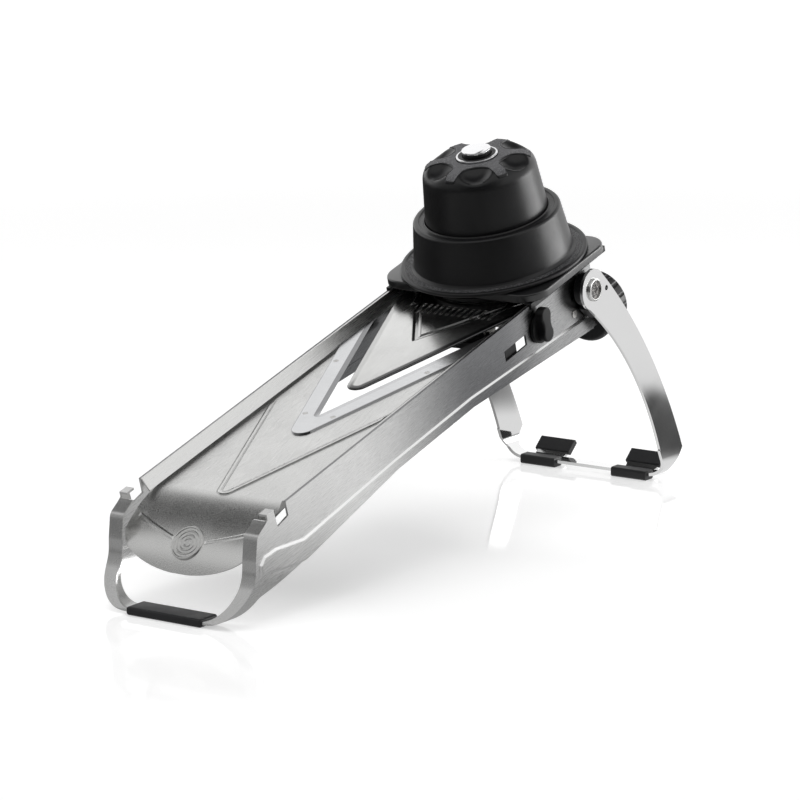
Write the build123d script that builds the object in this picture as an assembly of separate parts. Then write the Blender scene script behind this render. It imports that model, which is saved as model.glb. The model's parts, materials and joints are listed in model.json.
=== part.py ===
from build123d import *
import os
from math import atan2, cos, degrees, hypot, pi, radians, sin, sqrt

# V-blade mandoline slicer, millimetres.
# World frame: +X runs from the low front hoop to the high rear leg, +Y across, +Z up, floor at Z = 0.
# Deck frame: u runs up the slope, v across, w square to the deck, w = 0 on the deck's upper face.

# ---- stand ----
slope = 15.8                 # deck angle above the floor
deck_height = 36.2           # deck face above the floor where u = 0
origin_u = 232.54            # floor distance from u = 0 to the middle of the footprint

# ---- frame: one bent sheet, two side walls and the front hoop ----
frame_width = 94.4
frame_sheet = 1.2
frame_end = 366.0
rail_rise = 6.4              # rail top above the deck
rail_start = 66.0
ear_start = 49.4
ear_end = 55.4
ear_rise = 7.0
ear_fold = 5.0
ear_low_w = 4.0
notch_depth = 3.2
notch_step = (0.8, 1.4)
wall_depth_mid = 22.6
wall_depth_rear = 33.8
wall_straight_start = 160.0
wall_straight_end = 235.0
hoop_lean_z = 24.0           # the hoop leans forward below this height
hoop_front = ((36.0, hoop_lean_z), (36.2, 34.0), (37.7, 46.6), (44.0, 51.4))
hoop_rear = ((75.0, 25.6), (41.0, 14.0))
hoop_rounds = (18.0, 18.0, 5.0, 3.0)
hoop_rear_rounds = (20.0, 5.0)
hoop_corner_radius = 22.0
hoop_opening_radius = 18.0
hoop_flange = 8.6
ring_top_w = 3.4             # the hoop's front flange ends at this height above the deck
foot_front_x = 21.2
foot_rear_x = 33.6
foot_z = 1.5
rivet_radius = 1.5
rivet_head = 2.4
rivet_head_height = 0.7
rivet_w = -17.4
border_height = 6.2          # pressed border along the lower edge of each wall
border_raise = 1.2
border_rear_gap = 6.0
border_rear_rise = 4.0
border_dip_u = 306.0
border_dip_w = -20.8
seat_gap = 0.02              # nominal gap between parts fixed flat against each other
border_front = ((39.2, 25.6), (38.8, 31.6), (42.4, 36.0), (52.0, 38.2))
border_crest = (74.0, -18.6)
border_taper = 50.0

# ---- deck ----
deck_sheet = 1.0
deck_lean_gap = 0.05
deck_ledge = 0.5             # rim left inside each deck flange beside the ramp
deck_inner_width = 82.6
bend_start = 75.0
tongue_radius = 62.0
tongue_angle = 50.0
tongue_nose = 20.5           # length of the rounded nose along the arc
medal_diameter = 19.0
medal_rise = 0.6
medal_angle = 34.5

# ---- V layout: every V has the same slope and its own tip ----
vee_slope = 0.35             # v gained for each unit of u
panel_tip = 63.8
panel_raise = 0.6
panel_margin = 4.4
panel_tip_radius = 4.6
blade_plate_tip = 128.5
blade_edge_tip = 163.0
blade_plate_sheet = 0.9
blade_plate_radius = 6.4
blade_bevel = 3.0
blade_edge = 0.15
blade_screw_radius = 1.5
blade_screw_head = 2.6
blade_screw_head_height = 1.2
blade_screw_slot = 0.7
blade_screw_v = (9.0, 30.0)
notch_setback = 13.0         # the deck is cut away this far behind the cutting edge
support_sheet = 2.0
support_band = 26.0
support_side_gap = 6.0
blade_side_gap = 1.2
ramp_tip = 182.4

# ---- ramp ----
ramp_sheet = 1.2
ramp_top = 2.1
ramp_side_gap = 0.7
ramp_end = 361.5
ramp_tip_radius = 6.0
ramp_rim_depth = 2.4
ramp_rim_end = 288.0
ramp_edge_round = 0.8
ramp_drop = 6.0              # thickest slice
ramp_vee_tip = 254.0
ramp_vee_slope = 0.63
ramp_vee_band = 4.6
ramp_vee_end = 352.0
ramp_vee_depth = 0.5
ramp_vee_side_gap = 8.0

# ---- ramp lift ----
lug_sheet = 1.4
lug_start = 314.0
lug_end = 348.0
lug_depth = 11.0
lug_inset = 2.6
lift_pin_diameter = 4.0
lift_pin_head = 6.4
lift_pin_head_height = 1.0
lift_pin_end_gap = 0.4
lift_pin_w = -7.0
lift_pin_u = (325.0, 341.0)
slide_sheet = 1.2
slide_start = 310.2
slide_end = 346.0
slide_travel = 9.0
slide_top_w = -1.6
slide_bottom_w = -24.6
slide_gap = 0.4
slide_side_gap = 0.1
cross_plate = 2.0
cross_height = 7.0
guide_sheet = 1.2
guide_start = 313.0
guide_end = 346.4
ledge_sheet = 1.2
ledge_gap = 0.2
ledge_overlap = 0.6
ledge_rear_gap = 1.0
guide_rivet_inset = 3.0
pin_slot_clearance = 0.12
nut_length = 8.0
nut_diameter = 8.4
nut_tab = 10.8
nut_collar = 1.0
nut_clearance = 0.06
dial_w = -29.4
screw_diameter = 5.0
screw_front = 330.0
rear_plate_sheet = 1.6
rear_plate_top_w = -3.0
rear_tab_length = 9.0
rear_tab_top_w = -13.5
rear_low_w = -33.2
rear_plate_inset = 1.2
rear_window_half = 20.0
rear_window = (-20.0, -12.0)
bush_wall = 1.6
bush_flange = 1.5
bush_flange_wall = 1.8
bush_clearance = 0.05
dial_diameter = 37.0
dial_length = 20.0
dial_gap = 3.6
dial_leg_gap = 0.5           # between the dial and the near leg arm
dial_hub_gap = 0.3
dial_grips = 18
dial_grip_radius = 2.2
dial_grip_shift = 1.5
dial_round = 2.4
dial_face = 4.5
dial_cap = 3.0
collar_wall = 1.6
collar_ends = (3.0, 0.8)     # distances of the collar's ends before the rear plate

# ---- julienne comb ----
lever_u = 307.0
lever_w = -9.0
lever_shaft_diameter = 5.0
lever_bush_wall = 1.5
lever_bush_flange = 1.0
lever_bush_rim = 1.2
lever_boss_wall = 1.2
clip_wall = 1.8
clip_sheet = 0.8
comb_inner_radius = 14.0
comb_outer_radius = 19.0
comb_top_w = 1.4
comb_bar_start = 278.0
comb_bar_end = 294.0
comb_bar_top_w = -8.0
comb_bar_height = 4.0
comb_bar_half_width = 40.4
comb_pitch = 4.0
comb_teeth = 15
comb_tooth = 0.8
comb_tooth_root = 2.5
comb_slit_clearance = 0.5
comb_arm = 2.0
comb_arm_v = 33.0
comb_key_start = 275.0       # key on the bar's near end, seen in the window
comb_key_end = 286.0
comb_key_top_w = -7.8
comb_key_height = 7.6
comb_key_gap = 0.6
window_start = 272.0
window_end = 294.0
window_top_w = -7.2
window_height = 6.2
knob_base_diameter = 17.0
knob_base_height = 1.9
knob_grip_width = 9.5
knob_grip_length = 20.0
knob_grip_height = 4.7
knob_grip_shift = 2.6
knob_grip_round = 4.4
knob_edge_round = 1.0
knob_gap = 0.4
shaft_seat = 3.0              # how far the shaft enters the knob's grip
shaft_far_end = 2.2
knob_waist_radius = 9.0
knob_waist_depth = 1.1

# ---- leg ----
pivot_u = 352.8
pivot_w = -5.8
leg_side_gap = 7.4           # between a frame wall and the leg's arm
leg_sheet = 1.8
leg_head_radius = 11.8
leg_corner_radius = 13.0
leg_outer_mid = (50.4, -33.2)    # offsets from the pivot, deployed
leg_outer_end = (98.6, -108.0)
leg_inner_start = (-3.2, -11.4)
leg_inner_mid = (29.0, -38.2)
leg_inner_end = (76.0, -112.0)
bar_front = 80.6
bar_rear = 90.6
bar_z = 2.6
detent_offset = 13.4
detent_diameter = 3.0
screw_head_diameter = 13.0
screw_head_height = 1.6
screw_socket = 5.0
screw_socket_depth = 0.6
screw_recess_radius = 5.2
screw_recess_depth = 0.9
pivot_diameter = 7.0
pivot_clearance = 0.05
spacer_gap = 0.3
spacer_inset = 2.4
spacer_length = 17.6
nut_across = 11.0
nut_height = 2.6

# ---- rubber ----
front_pad_width = 48.0
front_pad_front = 19.9
front_pad_rear = 34.6
front_pad_height = 4.4
front_pad_round = 1.3
shoe_width = 23.5
shoe_offset = 31.5
shoe_depth = 9.0
shoe_height = 5.6
tab_length = 9.0
tab_angle = 40.0
tab_root = 4.0
tab_bend = 3.0
tab_inset = 3.0
tab_sleeve = 3.4

# ---- pusher carriage ----
pusher_u = 342.0
carriage_length = 81.6
carriage_overhang = 5.6      # beyond each frame wall
carriage_corner = 14.0
carriage_bottom_w = 7.6
carriage_height = 4.8
runner_height = 1.1
runner_width = 4.0
runner_lip = 0.9
runner_lip_depth = 2.2
runner_lip_gap = 0.3
turn_gap = 0.3
ring_radius = 42.6
ring_height = 0.8
ring_gap = 0.2
brim_overhang = 0.4          # beyond the carriage on each side
brim_height = 2.0
brim_gap = 0.2

# ---- pusher housing ----
well_radius = 36.4
well_wall = 2.2
well_bottom_w = 3.4
tier_flare = 3.6             # the tier's foot is wider than its top by this
tier_top_radius = 41.6
tier_top_w = 41.5
tier_wall = 2.4
tier_round = 4.0
sleeve_radius = 35.0
sleeve_bottom_w = 35.0

# ---- plunger ----
cap_gap = 0.4
cap_taper_w = 43.0
cap_top_radius = 31.2
cap_top_w = 75.0
cap_round = 9.0
cap_wall = 3.4
cap_bottom_w = 32.6
cap_flange_catch = 0.2       # the flange reaches this far under the tier's rim
cap_flange_height = 2.0
scallops = 6
scallop_radius = 13.4        # ball that presses each finger dip
scallop_place = 27.0
scallop_rise = 8.6           # the ball's centre above the cap's top
cap_inner_shoulder_w = 60.0
cap_roof_radius = 16.0
insert_sheet = 1.2
insert_radius = 27.0
insert_tip_round = 1.6
insert_proud = 0.4
insert_gap = 0.05
insert_land = 0.8            # rim of the cap left between each dip and the star
disc_sheet = 3.0
spike_length = 14.0
spike_diameter = 2.2
spike_point = 3.0
spike_point_radius = 0.2
spike_ring_radii = (10.0, 19.0, 27.5)
spike_ring_counts = (6, 12, 16)
spring_wire = 1.4
spring_side_gap = 0.3
spring_turns = 3.0
spring_gap = 0.1

# ---- release button ----
button_radius = 8.2
button_height = 5.2
button_sink = 0.6
button_gap = 0.3
button_travel = 4.0
pocket_gap = 0.4
boss_wall = 2.0
button_cap = 1.0
washer_radius = 11.8
washer_height = 1.0
stem_diameter = 5.0
stem_gap = 0.15
ejector_radius = 31.0
ejector_sheet = 1.4
ejector_gap = 0.3
stem_collar_radius = 8.0
stem_collar_height = 2.0
release_wire = 1.0
release_radius = 6.2
release_turns = 9.0

tier_base_radius = tier_top_radius + tier_flare
cap_flange_radius = tier_top_radius - tier_wall + cap_flange_catch
spring_radius = tier_top_radius - tier_wall - spring_side_gap - spring_wire / 2
half_frame = frame_width / 2
half_inner = half_frame - frame_sheet
half_deck = deck_inner_width / 2
leg_inner_v = half_frame + leg_side_gap
half_leg = leg_inner_v + leg_sheet
dial_v = dial_diameter / 2 + dial_leg_gap - leg_inner_v
half_ramp = half_deck - ramp_side_gap
blade_low_w = panel_raise
blade_top_w = panel_raise + blade_plate_sheet
lug_v = half_ramp - lug_inset
slide_v = half_deck - slide_side_gap         # inner face of each slide plate
guide_v = slide_v + slide_sheet + slide_gap
carriage_top_w = carriage_bottom_w + carriage_height
brim_low = carriage_top_w + brim_gap
brim_top = brim_low + brim_height
washer_seat_radius = button_radius + button_gap
button_low_w = cap_top_w - button_sink
pocket_w = button_low_w - button_travel - pocket_gap
collar_top_w = pocket_w - cap_wall
carriage_width = frame_width + 2 * carriage_overhang
brim_radius = carriage_width / 2 + brim_overhang
cut_far = 200.0              # reach of cutting tools

deck_plane = Plane(
    origin=(-origin_u, 0, deck_height),
    x_dir=(cos(radians(slope)), 0, sin(radians(slope))),
    z_dir=(-sin(radians(slope)), 0, cos(radians(slope))),
)
floor_shift = Location((-origin_u, 0, 0))


def on_deck(shape):
    return deck_plane.location * shape


def on_floor(shape):
    return floor_shift * shape


def floor_point(u, w):
    a = radians(slope)
    return (u * cos(a) - w * sin(a), deck_height + u * sin(a) + w * cos(a))


pivot_x, pivot_z = floor_point(pivot_u, pivot_w)


def deck_point(x, z):
    a = radians(slope)
    rise = z - deck_height
    return (x * cos(a) + rise * sin(a), rise * cos(a) - x * sin(a))


def across(face_points, v_from, v_to):
    """Prism between two v planes from a closed outline in (u, w) or (x, z)."""
    outline = make_face(Polyline(*face_points, close=True))
    side = Plane.XZ.offset(-v_from) * outline
    return extrude(side, amount=-(v_to - v_from))


def slab(points, w_from, w_to):
    """Prism square to the deck from a closed outline in (u, v)."""
    return extrude(Plane.XY.offset(w_from) * make_face(Polyline(*points, close=True)), amount=w_to - w_from)


def block(u0, u1, v0, v1, w0, w1):
    box = Box(u1 - u0, v1 - v0, w1 - w0)
    return Pos((u0 + u1) / 2, (v0 + v1) / 2, (w0 + w1) / 2) * box


def rod_across(u, w, radius, v0, v1):
    return Pos(u, (v0 + v1) / 2, w) * Rot(90, 0, 0) * Cylinder(radius, v1 - v0)


def rod_along(v, w, radius, u0, u1):
    return Pos((u0 + u1) / 2, v, w) * Rot(0, 90, 0) * Cylinder(radius, u1 - u0)


def both_sides(shape):
    return [shape, mirror(shape, about=Plane.XZ)]


def turned(points):
    """Solid of revolution about w from a closed outline in (radius, w)."""
    return revolve(Plane.XZ * make_face(Polyline(*points, close=True)), axis=Axis.Z)


def vee(tip, half_width):
    """u where the V with this tip reaches the given half width."""
    return tip + half_width / vee_slope


# ---------------------------------------------------------------- frame
def wall_outline():
    end_top = floor_point(frame_end, rail_rise)
    end_bottom = floor_point(frame_end, -wall_depth_rear)
    ear_low = floor_point(ear_start, ear_low_w)
    return [
        floor_point(rail_start, rail_rise),
        end_top,
        end_bottom,
        floor_point(wall_straight_end, -wall_depth_mid),
        floor_point(wall_straight_start, -wall_depth_mid),
        *hoop_rear,
        (foot_rear_x, foot_z + frame_sheet),
        (foot_rear_x, foot_z - 1),
        (foot_front_x, foot_z - 1),
        (foot_front_x, foot_z + frame_sheet),
        *hoop_front,
        ear_low,
        floor_point(ear_start, ear_rise),
        floor_point(ear_end, ear_rise),
        floor_point(ear_end + notch_step[0], -notch_depth),
        floor_point(rail_start, -notch_depth + notch_step[1]),
    ]


def hoop_section(half, low, radius):
    """U outline in (y, z) between two heights with round lower corners."""
    top = (-half, cut_far), (half, cut_far)
    line = FilletPolyline(top[0], (-half, low), (half, low), top[1], radius=radius)
    return make_face(line + Line(top[1], top[0]))


def wall_face():
    """Side outline in (x, z) with the hoop's corners rounded."""
    face = make_face(Polyline(*wall_outline(), close=True))
    for (x, z), radius in zip(hoop_front + hoop_rear, hoop_rounds + hoop_rear_rounds):
        face = fillet([v for v in face.vertices() if hypot(v.X - x, v.Y - z) < 0.01], radius)
    return face


def side_prism():
    return extrude(Plane.XZ.offset(-cut_far) * wall_face(), amount=2 * cut_far)


def make_frame():
    outer = hoop_section(half_frame, foot_z, hoop_corner_radius)
    inner = hoop_section(half_inner, foot_z + frame_sheet, hoop_corner_radius - frame_sheet)
    trough = extrude(Plane.YZ * (outer - inner), amount=frame_end + cut_far)
    side = side_prism()
    sheet = trough & side
    opening = hoop_section(half_frame - hoop_flange, foot_z + frame_sheet, hoop_opening_radius)
    ring = extrude(Plane.YZ * (outer - opening), amount=floor_point(ear_start, 0)[0] + 2)
    skin = side - Location((frame_sheet, 0, 0)) * side
    ring_top = floor_point(ear_start, ring_top_w)[1]
    sheet += ring & skin & Pos(0, 0, ring_top / 2) * Box(2 * cut_far, 2 * cut_far, ring_top)
    for wall in (-1, 1):
        flap = block(ear_start, ear_end, wall * half_frame - (ear_fold if wall > 0 else 0),
                     wall * half_frame + (ear_fold if wall < 0 else 0), ear_rise - frame_sheet, ear_rise)
        sheet += deck_local(flap)
    return sheet


def deck_local(shape):
    """Deck frame placed in the unshifted floor frame."""
    return Location((origin_u, 0, 0)) * on_deck(shape)


def border_line():
    """Upper edge of the pressed border in (u, w), from the hoop to the rear end."""
    rise = border_height
    return [
        *(deck_point(x, z) for x, z in border_front),
        border_crest,
        (wall_straight_start, -wall_depth_mid + rise),
        (wall_straight_end, -wall_depth_mid + rise),
        (border_dip_u, border_dip_w),
        (frame_end - border_rear_gap, -wall_depth_rear + rise + border_rear_rise),
    ]


def make_border(wall):
    """Pressed-out border below the border line, hollow on its inner side."""
    line = border_line()
    front = border_front[0]
    below = 2 * wall_depth_rear
    low = [(frame_end - border_rear_gap, -below), deck_point(front[0] + below, front[1])]
    face = make_face(Polyline(*(line + low), close=True))
    place = Plane.XZ.offset(half_frame)
    raised = extrude(place * face, amount=border_raise, taper=border_taper)
    inside = extrude(Plane.XZ.offset(half_inner) * face, amount=border_raise, taper=border_taper)
    if wall > 0:
        raised = mirror(raised, about=Plane.XZ)
        inside = mirror(inside, about=Plane.XZ)
    return deck_local(raised), deck_local(inside)


def frame_holes():
    """Holes through the walls, in the deck frame."""
    cuts = []
    near_window = block(window_start, window_end, -cut_far, 0, window_top_w - window_height, window_top_w)
    cuts.append(near_window)
    cuts.append(rod_across(lever_u, lever_w, lever_bush_radius(), -cut_far, cut_far))
    cuts.append(rod_across(pivot_u, pivot_w, pivot_diameter / 2 + pivot_clearance, -cut_far, cut_far))
    for u, w in rivet_places():
        cuts.append(rod_across(u, w, rivet_radius, -cut_far, cut_far))
    return cuts


def rivet_places():
    guide = [(guide_start + guide_rivet_inset, rivet_w), (guide_end - guide_rivet_inset, rivet_w)]
    tab_u = frame_end - rear_plate_sheet - rear_tab_length / 2 - 1.0
    return guide + [(tab_u, rivet_w)]


def lever_bush_radius():
    return lever_shaft_diameter / 2 + lever_bush_wall


def build_frame():
    sheet = make_frame()
    outline = side_prism()
    for wall in (-1, 1):
        raised, inside = make_border(wall)
        keep = Pos(0, wall * cut_far, 0) * Box(4 * cut_far, 2 * cut_far, 2 * cut_far)
        sheet += raised & outline & keep
        sheet -= inside
    for cut in frame_holes():
        sheet -= deck_local(cut)
    return on_floor(sheet)


# ---------------------------------------------------------------- deck
def deck_section():
    lean = half_inner - deck_lean_gap
    t = deck_sheet
    return [
        (-lean, rail_rise), (-lean + t, rail_rise), (-half_deck, 0), (half_deck, 0),
        (lean - t, rail_rise), (lean, rail_rise), (half_deck + 0.3, -t), (-half_deck - 0.3, -t),
    ]


def build_deck():
    section = Plane.YZ.offset(rail_start) * make_face(Polyline(*deck_section(), close=True))
    body = extrude(section, amount=frame_end - rail_start)
    tip = blade_edge_tip - notch_setback
    far = frame_end + 10
    reach = half_deck - deck_ledge
    cut = [(tip, 0), (vee(tip, reach), reach), (far, reach), (far, -reach), (vee(tip, reach), -reach)]
    body -= slab(cut, -9, 0.001)
    body -= block(vee(tip, reach) - 12, far, -half_frame, half_frame, -9, -0.02)
    body -= block(0, bend_start, -half_deck, half_deck, -5, 0.01)
    body -= block(0, bend_start, -half_frame, half_frame, -5, -0.4)
    # tongue: the deck rolls down over the hoop and ends in a round nose
    roll = Pos(bend_start, 0, -tongue_radius) * Rot(90, 0, 0)
    arc = roll * Cylinder(tongue_radius, 2 * half_deck)
    arc -= roll * Cylinder(tongue_radius - deck_sheet, 2 * cut_far)
    a = radians(tongue_angle)
    wedge = across([(bend_start, -tongue_radius), (bend_start, cut_far),
                    (bend_start - cut_far * sin(a), -tongue_radius + cut_far * cos(a))], -cut_far, cut_far)
    tongue = arc & wedge
    nose_start = tongue_angle - degrees(tongue_nose / tongue_radius)
    mid = radians((nose_start + tongue_angle) / 2)
    chord = 2 * tongue_radius * sin(radians(tongue_angle - nose_start) / 2)
    start = radians(nose_start)
    base = (bend_start - tongue_radius * sin(start), -tongue_radius + tongue_radius * cos(start))
    nose_plane = Plane(origin=(base[0], 0, base[1]), x_dir=(-cos(mid), 0, -sin(mid)),
                       z_dir=(-sin(mid), 0, cos(mid)))
    nose = Ellipse(chord, half_deck) + Rectangle(cut_far, 2 * half_deck, align=(Align.MAX, Align.CENTER))
    tongue &= extrude(nose_plane * nose, amount=cut_far, both=True)
    body += tongue
    # raised V panel between the tongue and the blades
    edge = half_deck - panel_margin
    panel = [(panel_tip, 0), (vee(panel_tip, edge), edge), (vee(tip, edge) - 1, edge), (tip - 1, 0),
             (vee(tip, edge) - 1, -edge), (vee(panel_tip, edge), -edge)]
    face = make_face(Polyline(*panel, close=True))
    face = fillet(face.vertices().sort_by(Axis.X)[:1], panel_tip_radius)
    body += extrude(face, amount=panel_raise)
    return on_deck(body)


# ---------------------------------------------------------------- blades
def vee_band(tip_outer, tip_inner, half, w_low, w_high):
    points = [(tip_outer, 0), (vee(tip_outer, half), half), (vee(tip_inner, half), half), (tip_inner, 0),
              (vee(tip_inner, half), -half), (vee(tip_outer, half), -half)]
    return slab(points, w_low, w_high)


def build_blade():
    """V blade: a flat band with its two inner edges ground to a bevel."""
    half = half_deck - blade_side_gap
    band = vee_band(blade_plate_tip, blade_edge_tip, half, blade_low_w, blade_top_w)
    band = fillet(band.edges().filter_by(Axis.Z).sort_by(Axis.X)[:1], blade_plate_radius)
    run = hypot(1.0, vee_slope)
    for wall in (-1, 1):
        grind = across([(0, -0.02), (blade_bevel, -0.02), (blade_bevel, blade_plate_sheet - blade_edge)],
                       -cut_far, cut_far)
        turn = degrees(atan2(vee_slope, 1.0))
        tilt = Rot(0, 0, wall * turn - wall * 90) * grind
        band -= Pos(blade_edge_tip - blade_bevel * run / vee_slope, 0, blade_low_w) * tilt
    return on_deck(band)


def support_screws():
    """Blade fixing points, (u, v), in the middle of the supported band."""
    middle = (blade_plate_tip + blade_edge_tip - notch_setback) / 2 - 2.0
    return [(vee(middle, v), side * v) for v in blade_screw_v for side in (-1, 1)]


def build_support():
    """V strap under the deck that the blade is screwed through to."""
    half = half_deck - support_side_gap
    outer = blade_edge_tip - notch_setback - support_band
    strap = vee_band(outer, blade_edge_tip - notch_setback, half, -deck_sheet - support_sheet, -deck_sheet)
    for u, v in support_screws():
        strap -= Pos(u, v, -deck_sheet) * Cylinder(blade_screw_radius, 10)
    return on_deck(strap)


def build_blade_screws():
    """Flush screws from below through strap, deck and blade."""
    low = -deck_sheet - support_sheet
    head_height = blade_screw_head_height
    screws = []
    for u, v in support_screws():
        length = blade_top_w - low
        shank = Pos(u, v, low + length / 2) * Cylinder(blade_screw_radius, length)
        head = Pos(u, v, low - head_height / 2) * Cylinder(blade_screw_head, head_height)
        slot = Pos(u, v, low - head_height) * Box(3 * blade_screw_head, blade_screw_slot, blade_screw_slot)
        screws.append(on_deck(shank + head - slot))
    return screws


def drill_blade_screws(shape):
    for u, v in support_screws():
        shape -= on_deck(Pos(u, v, 0) * Cylinder(blade_screw_radius, 12))
    return shape


# ---------------------------------------------------------------- ramp
def ramp_outline(inset, end):
    half = half_ramp - inset
    tip = ramp_tip + inset * hypot(1.0, vee_slope) / vee_slope
    corner = vee(tip, half)
    points = [(end, -half), (corner, -half), (tip, 0), (corner, half), (end, half)]
    face = make_face(Polyline(*points, close=True))
    nose = [v for v in face.vertices() if abs(v.Y) < 0.01]
    return fillet(nose, ramp_tip_radius - min(inset, 1.0))


def build_ramp():
    plate = extrude(Plane.XY.offset(ramp_top - ramp_sheet) * ramp_outline(0, ramp_end), amount=ramp_sheet)
    edges = [e for e in plate.edges().filter_by(Plane.XY) if abs(e.center().Z - ramp_top) < 0.01]
    plate = fillet([e for e in edges if e.center().X < ramp_end - 1], ramp_edge_round)
    rim = ramp_outline(0, ramp_rim_end) - ramp_outline(ramp_sheet, ramp_rim_end + 1)
    plate += extrude(Plane.XY.offset(ramp_top - ramp_sheet - ramp_rim_depth) * rim, amount=ramp_rim_depth)
    groove = make_face(Polyline(*ramp_vee(0), close=True))
    groove -= make_face(Polyline(*ramp_vee(ramp_vee_band), close=True))
    plate -= extrude(Plane.XY.offset(ramp_top - ramp_vee_depth) * groove, amount=2)
    for wall in (-1, 1):
        outer = wall * (lug_v + lug_sheet)
        inner = wall * lug_v
        plate += block(lug_start, lug_end, min(inner, outer), max(inner, outer),
                       ramp_top - ramp_sheet - lug_depth, ramp_top - ramp_sheet)
    for u in lift_pin_u:
        plate -= rod_across(u, lift_pin_w, lift_pin_diameter / 2, -half_deck, half_deck)
    for v in comb_places():
        plate -= comb_slit(v)
    return on_deck(plate)


def ramp_vee(inset):
    tip = ramp_vee_tip + inset * hypot(1.0, ramp_vee_slope) / ramp_vee_slope
    half = half_ramp - ramp_vee_side_gap - inset
    end = ramp_vee_end - inset
    reach = tip + half / ramp_vee_slope
    return [(tip, 0), (reach, half), (end, half), (end, -half), (reach, -half)]


def comb_places():
    middle = (comb_teeth - 1) / 2
    return [(i - middle) * comb_pitch for i in range(comb_teeth)]


def comb_slit(v):
    low = ramp_top - ramp_sheet - ramp_drop - lever_w
    high = ramp_top - lever_w
    start = lever_u - sqrt(comb_outer_radius ** 2 - low ** 2) - comb_slit_clearance
    end = lever_u - sqrt(comb_inner_radius ** 2 - high ** 2) + comb_slit_clearance
    half = comb_tooth / 2 + comb_slit_clearance
    return block(start, end, v - half, v + half, ramp_top - ramp_sheet - 1, ramp_top + 1)


# ---------------------------------------------------------------- ramp lift
def build_lift_pins():
    pins = []
    for wall in (-1, 1):
        for u in lift_pin_u:
            inner = wall * (lug_v - 1.0)
            v0, v1 = sorted((inner, wall * (half_inner - lift_pin_end_gap)))
            pin = rod_across(u, lift_pin_w, lift_pin_diameter / 2, v0, v1)
            h0, h1 = sorted((inner, inner - wall * lift_pin_head_height))
            pins.append(on_deck(pin + rod_across(u, lift_pin_w, lift_pin_head / 2, h0, h1)))
    return pins


def slot_cut(start, end, radius):
    """Through slot between two (u, w) points, round at both ends."""
    du = end[0] - start[0]
    dw = end[1] - start[1]
    length = hypot(du, dw)
    middle = ((start[0] + end[0]) / 2, (start[1] + end[1]) / 2)
    turn = degrees(atan2(dw, du))
    bar = Box(length, 200, 2 * radius) if length > 0.01 else Cylinder(radius, 200)
    slot = Pos(middle[0], 0, middle[1]) * Rot(0, -turn, 0) * bar
    slot += rod_across(start[0], start[1], radius, -cut_far, cut_far)
    slot += rod_across(end[0], end[1], radius, -cut_far, cut_far)
    return slot


def build_slide():
    """Cam slide: two slotted plates tied by a cross plate that carries the nut."""
    half = slide_v + slide_sheet
    body = None
    for wall in (-1, 1):
        v0, v1 = sorted((wall * slide_v, wall * half))
        plate = block(slide_start, slide_end, v0, v1, slide_bottom_w, slide_top_w)
        body = plate if body is None else body + plate
    cross_u = slide_end - nut_length
    cross_top = slide_bottom_w + cross_height
    body += block(cross_u, cross_u + cross_plate, -half, half, slide_bottom_w, cross_top)
    body += block(cross_u, cross_u + cross_plate, dial_v - nut_tab / 2, dial_v + nut_tab / 2,
                  dial_w - nut_tab / 2, cross_top)
    radius = lift_pin_diameter / 2 + pin_slot_clearance
    for u in lift_pin_u:
        body -= slot_cut((u, lift_pin_w), (u - slide_travel, lift_pin_w - ramp_drop), radius)
    body -= rod_along(dial_v, dial_w, nut_diameter / 2, slide_start, slide_end + 5)
    return on_deck(body)


def build_nut():
    """Threaded nut held in the cam slide."""
    cross_u = slide_end - nut_length
    nut = rod_along(dial_v, dial_w, nut_diameter / 2, cross_u, slide_end)
    nut += rod_along(dial_v, dial_w, nut_diameter / 2 + nut_collar, cross_u + cross_plate, slide_end)
    nut -= rod_along(dial_v, dial_w, screw_diameter / 2 + nut_clearance, cross_u - 1, slide_end + 1)
    return on_deck(nut)


def build_guides():
    """Guide plate on each wall: upright slots for the pins and a ledge for the slide."""
    low = slide_bottom_w - ledge_gap - ledge_sheet
    plates = []
    for wall in (-1, 1):
        v0, v1 = sorted((wall * guide_v, wall * (half_inner - seat_gap)))
        plate = block(guide_start, guide_end, v0, v1, low, slide_top_w)
        l0, l1 = sorted((wall * (slide_v - ledge_overlap), wall * guide_v))
        plate += block(guide_start, slide_end - nut_length - ledge_rear_gap, l0, l1, low, low + ledge_sheet)
        radius = lift_pin_diameter / 2 + pin_slot_clearance
        for u in lift_pin_u:
            plate -= slot_cut((u, lift_pin_w), (u, lift_pin_w - ramp_drop), radius)
        for u, w in rivet_places()[:2]:
            plate -= rod_across(u, w, rivet_radius, -cut_far, cut_far)
        plates.append(on_deck(plate))
    return plates


def build_rear_plate():
    face, back = rear_plate_faces()
    half = half_inner - seat_gap
    plate = block(face, back, -half, half, rear_low_w, rear_plate_top_w)
    for wall in (-1, 1):
        v0, v1 = sorted((wall * (half - rear_plate_sheet), wall * half))
        plate += block(face - rear_tab_length, face, v0, v1, rear_low_w, rear_tab_top_w)
    for u, w in rivet_places()[2:]:
        plate -= rod_across(u, w, rivet_radius, -cut_far, cut_far)
    plate -= rod_along(dial_v, dial_w, screw_diameter / 2 + bush_wall, face - 5, face + 5)
    plate -= block(face - 1, face + 5, -rear_window_half, rear_window_half, *rear_window)
    return on_deck(plate)


def rear_plate_faces():
    face = frame_end - rear_plate_sheet - rear_plate_inset
    return face, face + rear_plate_sheet


def build_screw_bush():
    face, back = rear_plate_faces()
    radius = screw_diameter / 2 + bush_wall
    bush = rod_along(dial_v, dial_w, radius, face - 0.6, back)
    bush += rod_along(dial_v, dial_w, radius + bush_flange_wall, back, back + bush_flange)
    bush -= rod_along(dial_v, dial_w, screw_diameter / 2 + bush_clearance, face - 5, back + 9)
    return on_deck(bush)


def dial_start():
    return rear_plate_faces()[1] + dial_gap


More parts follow.
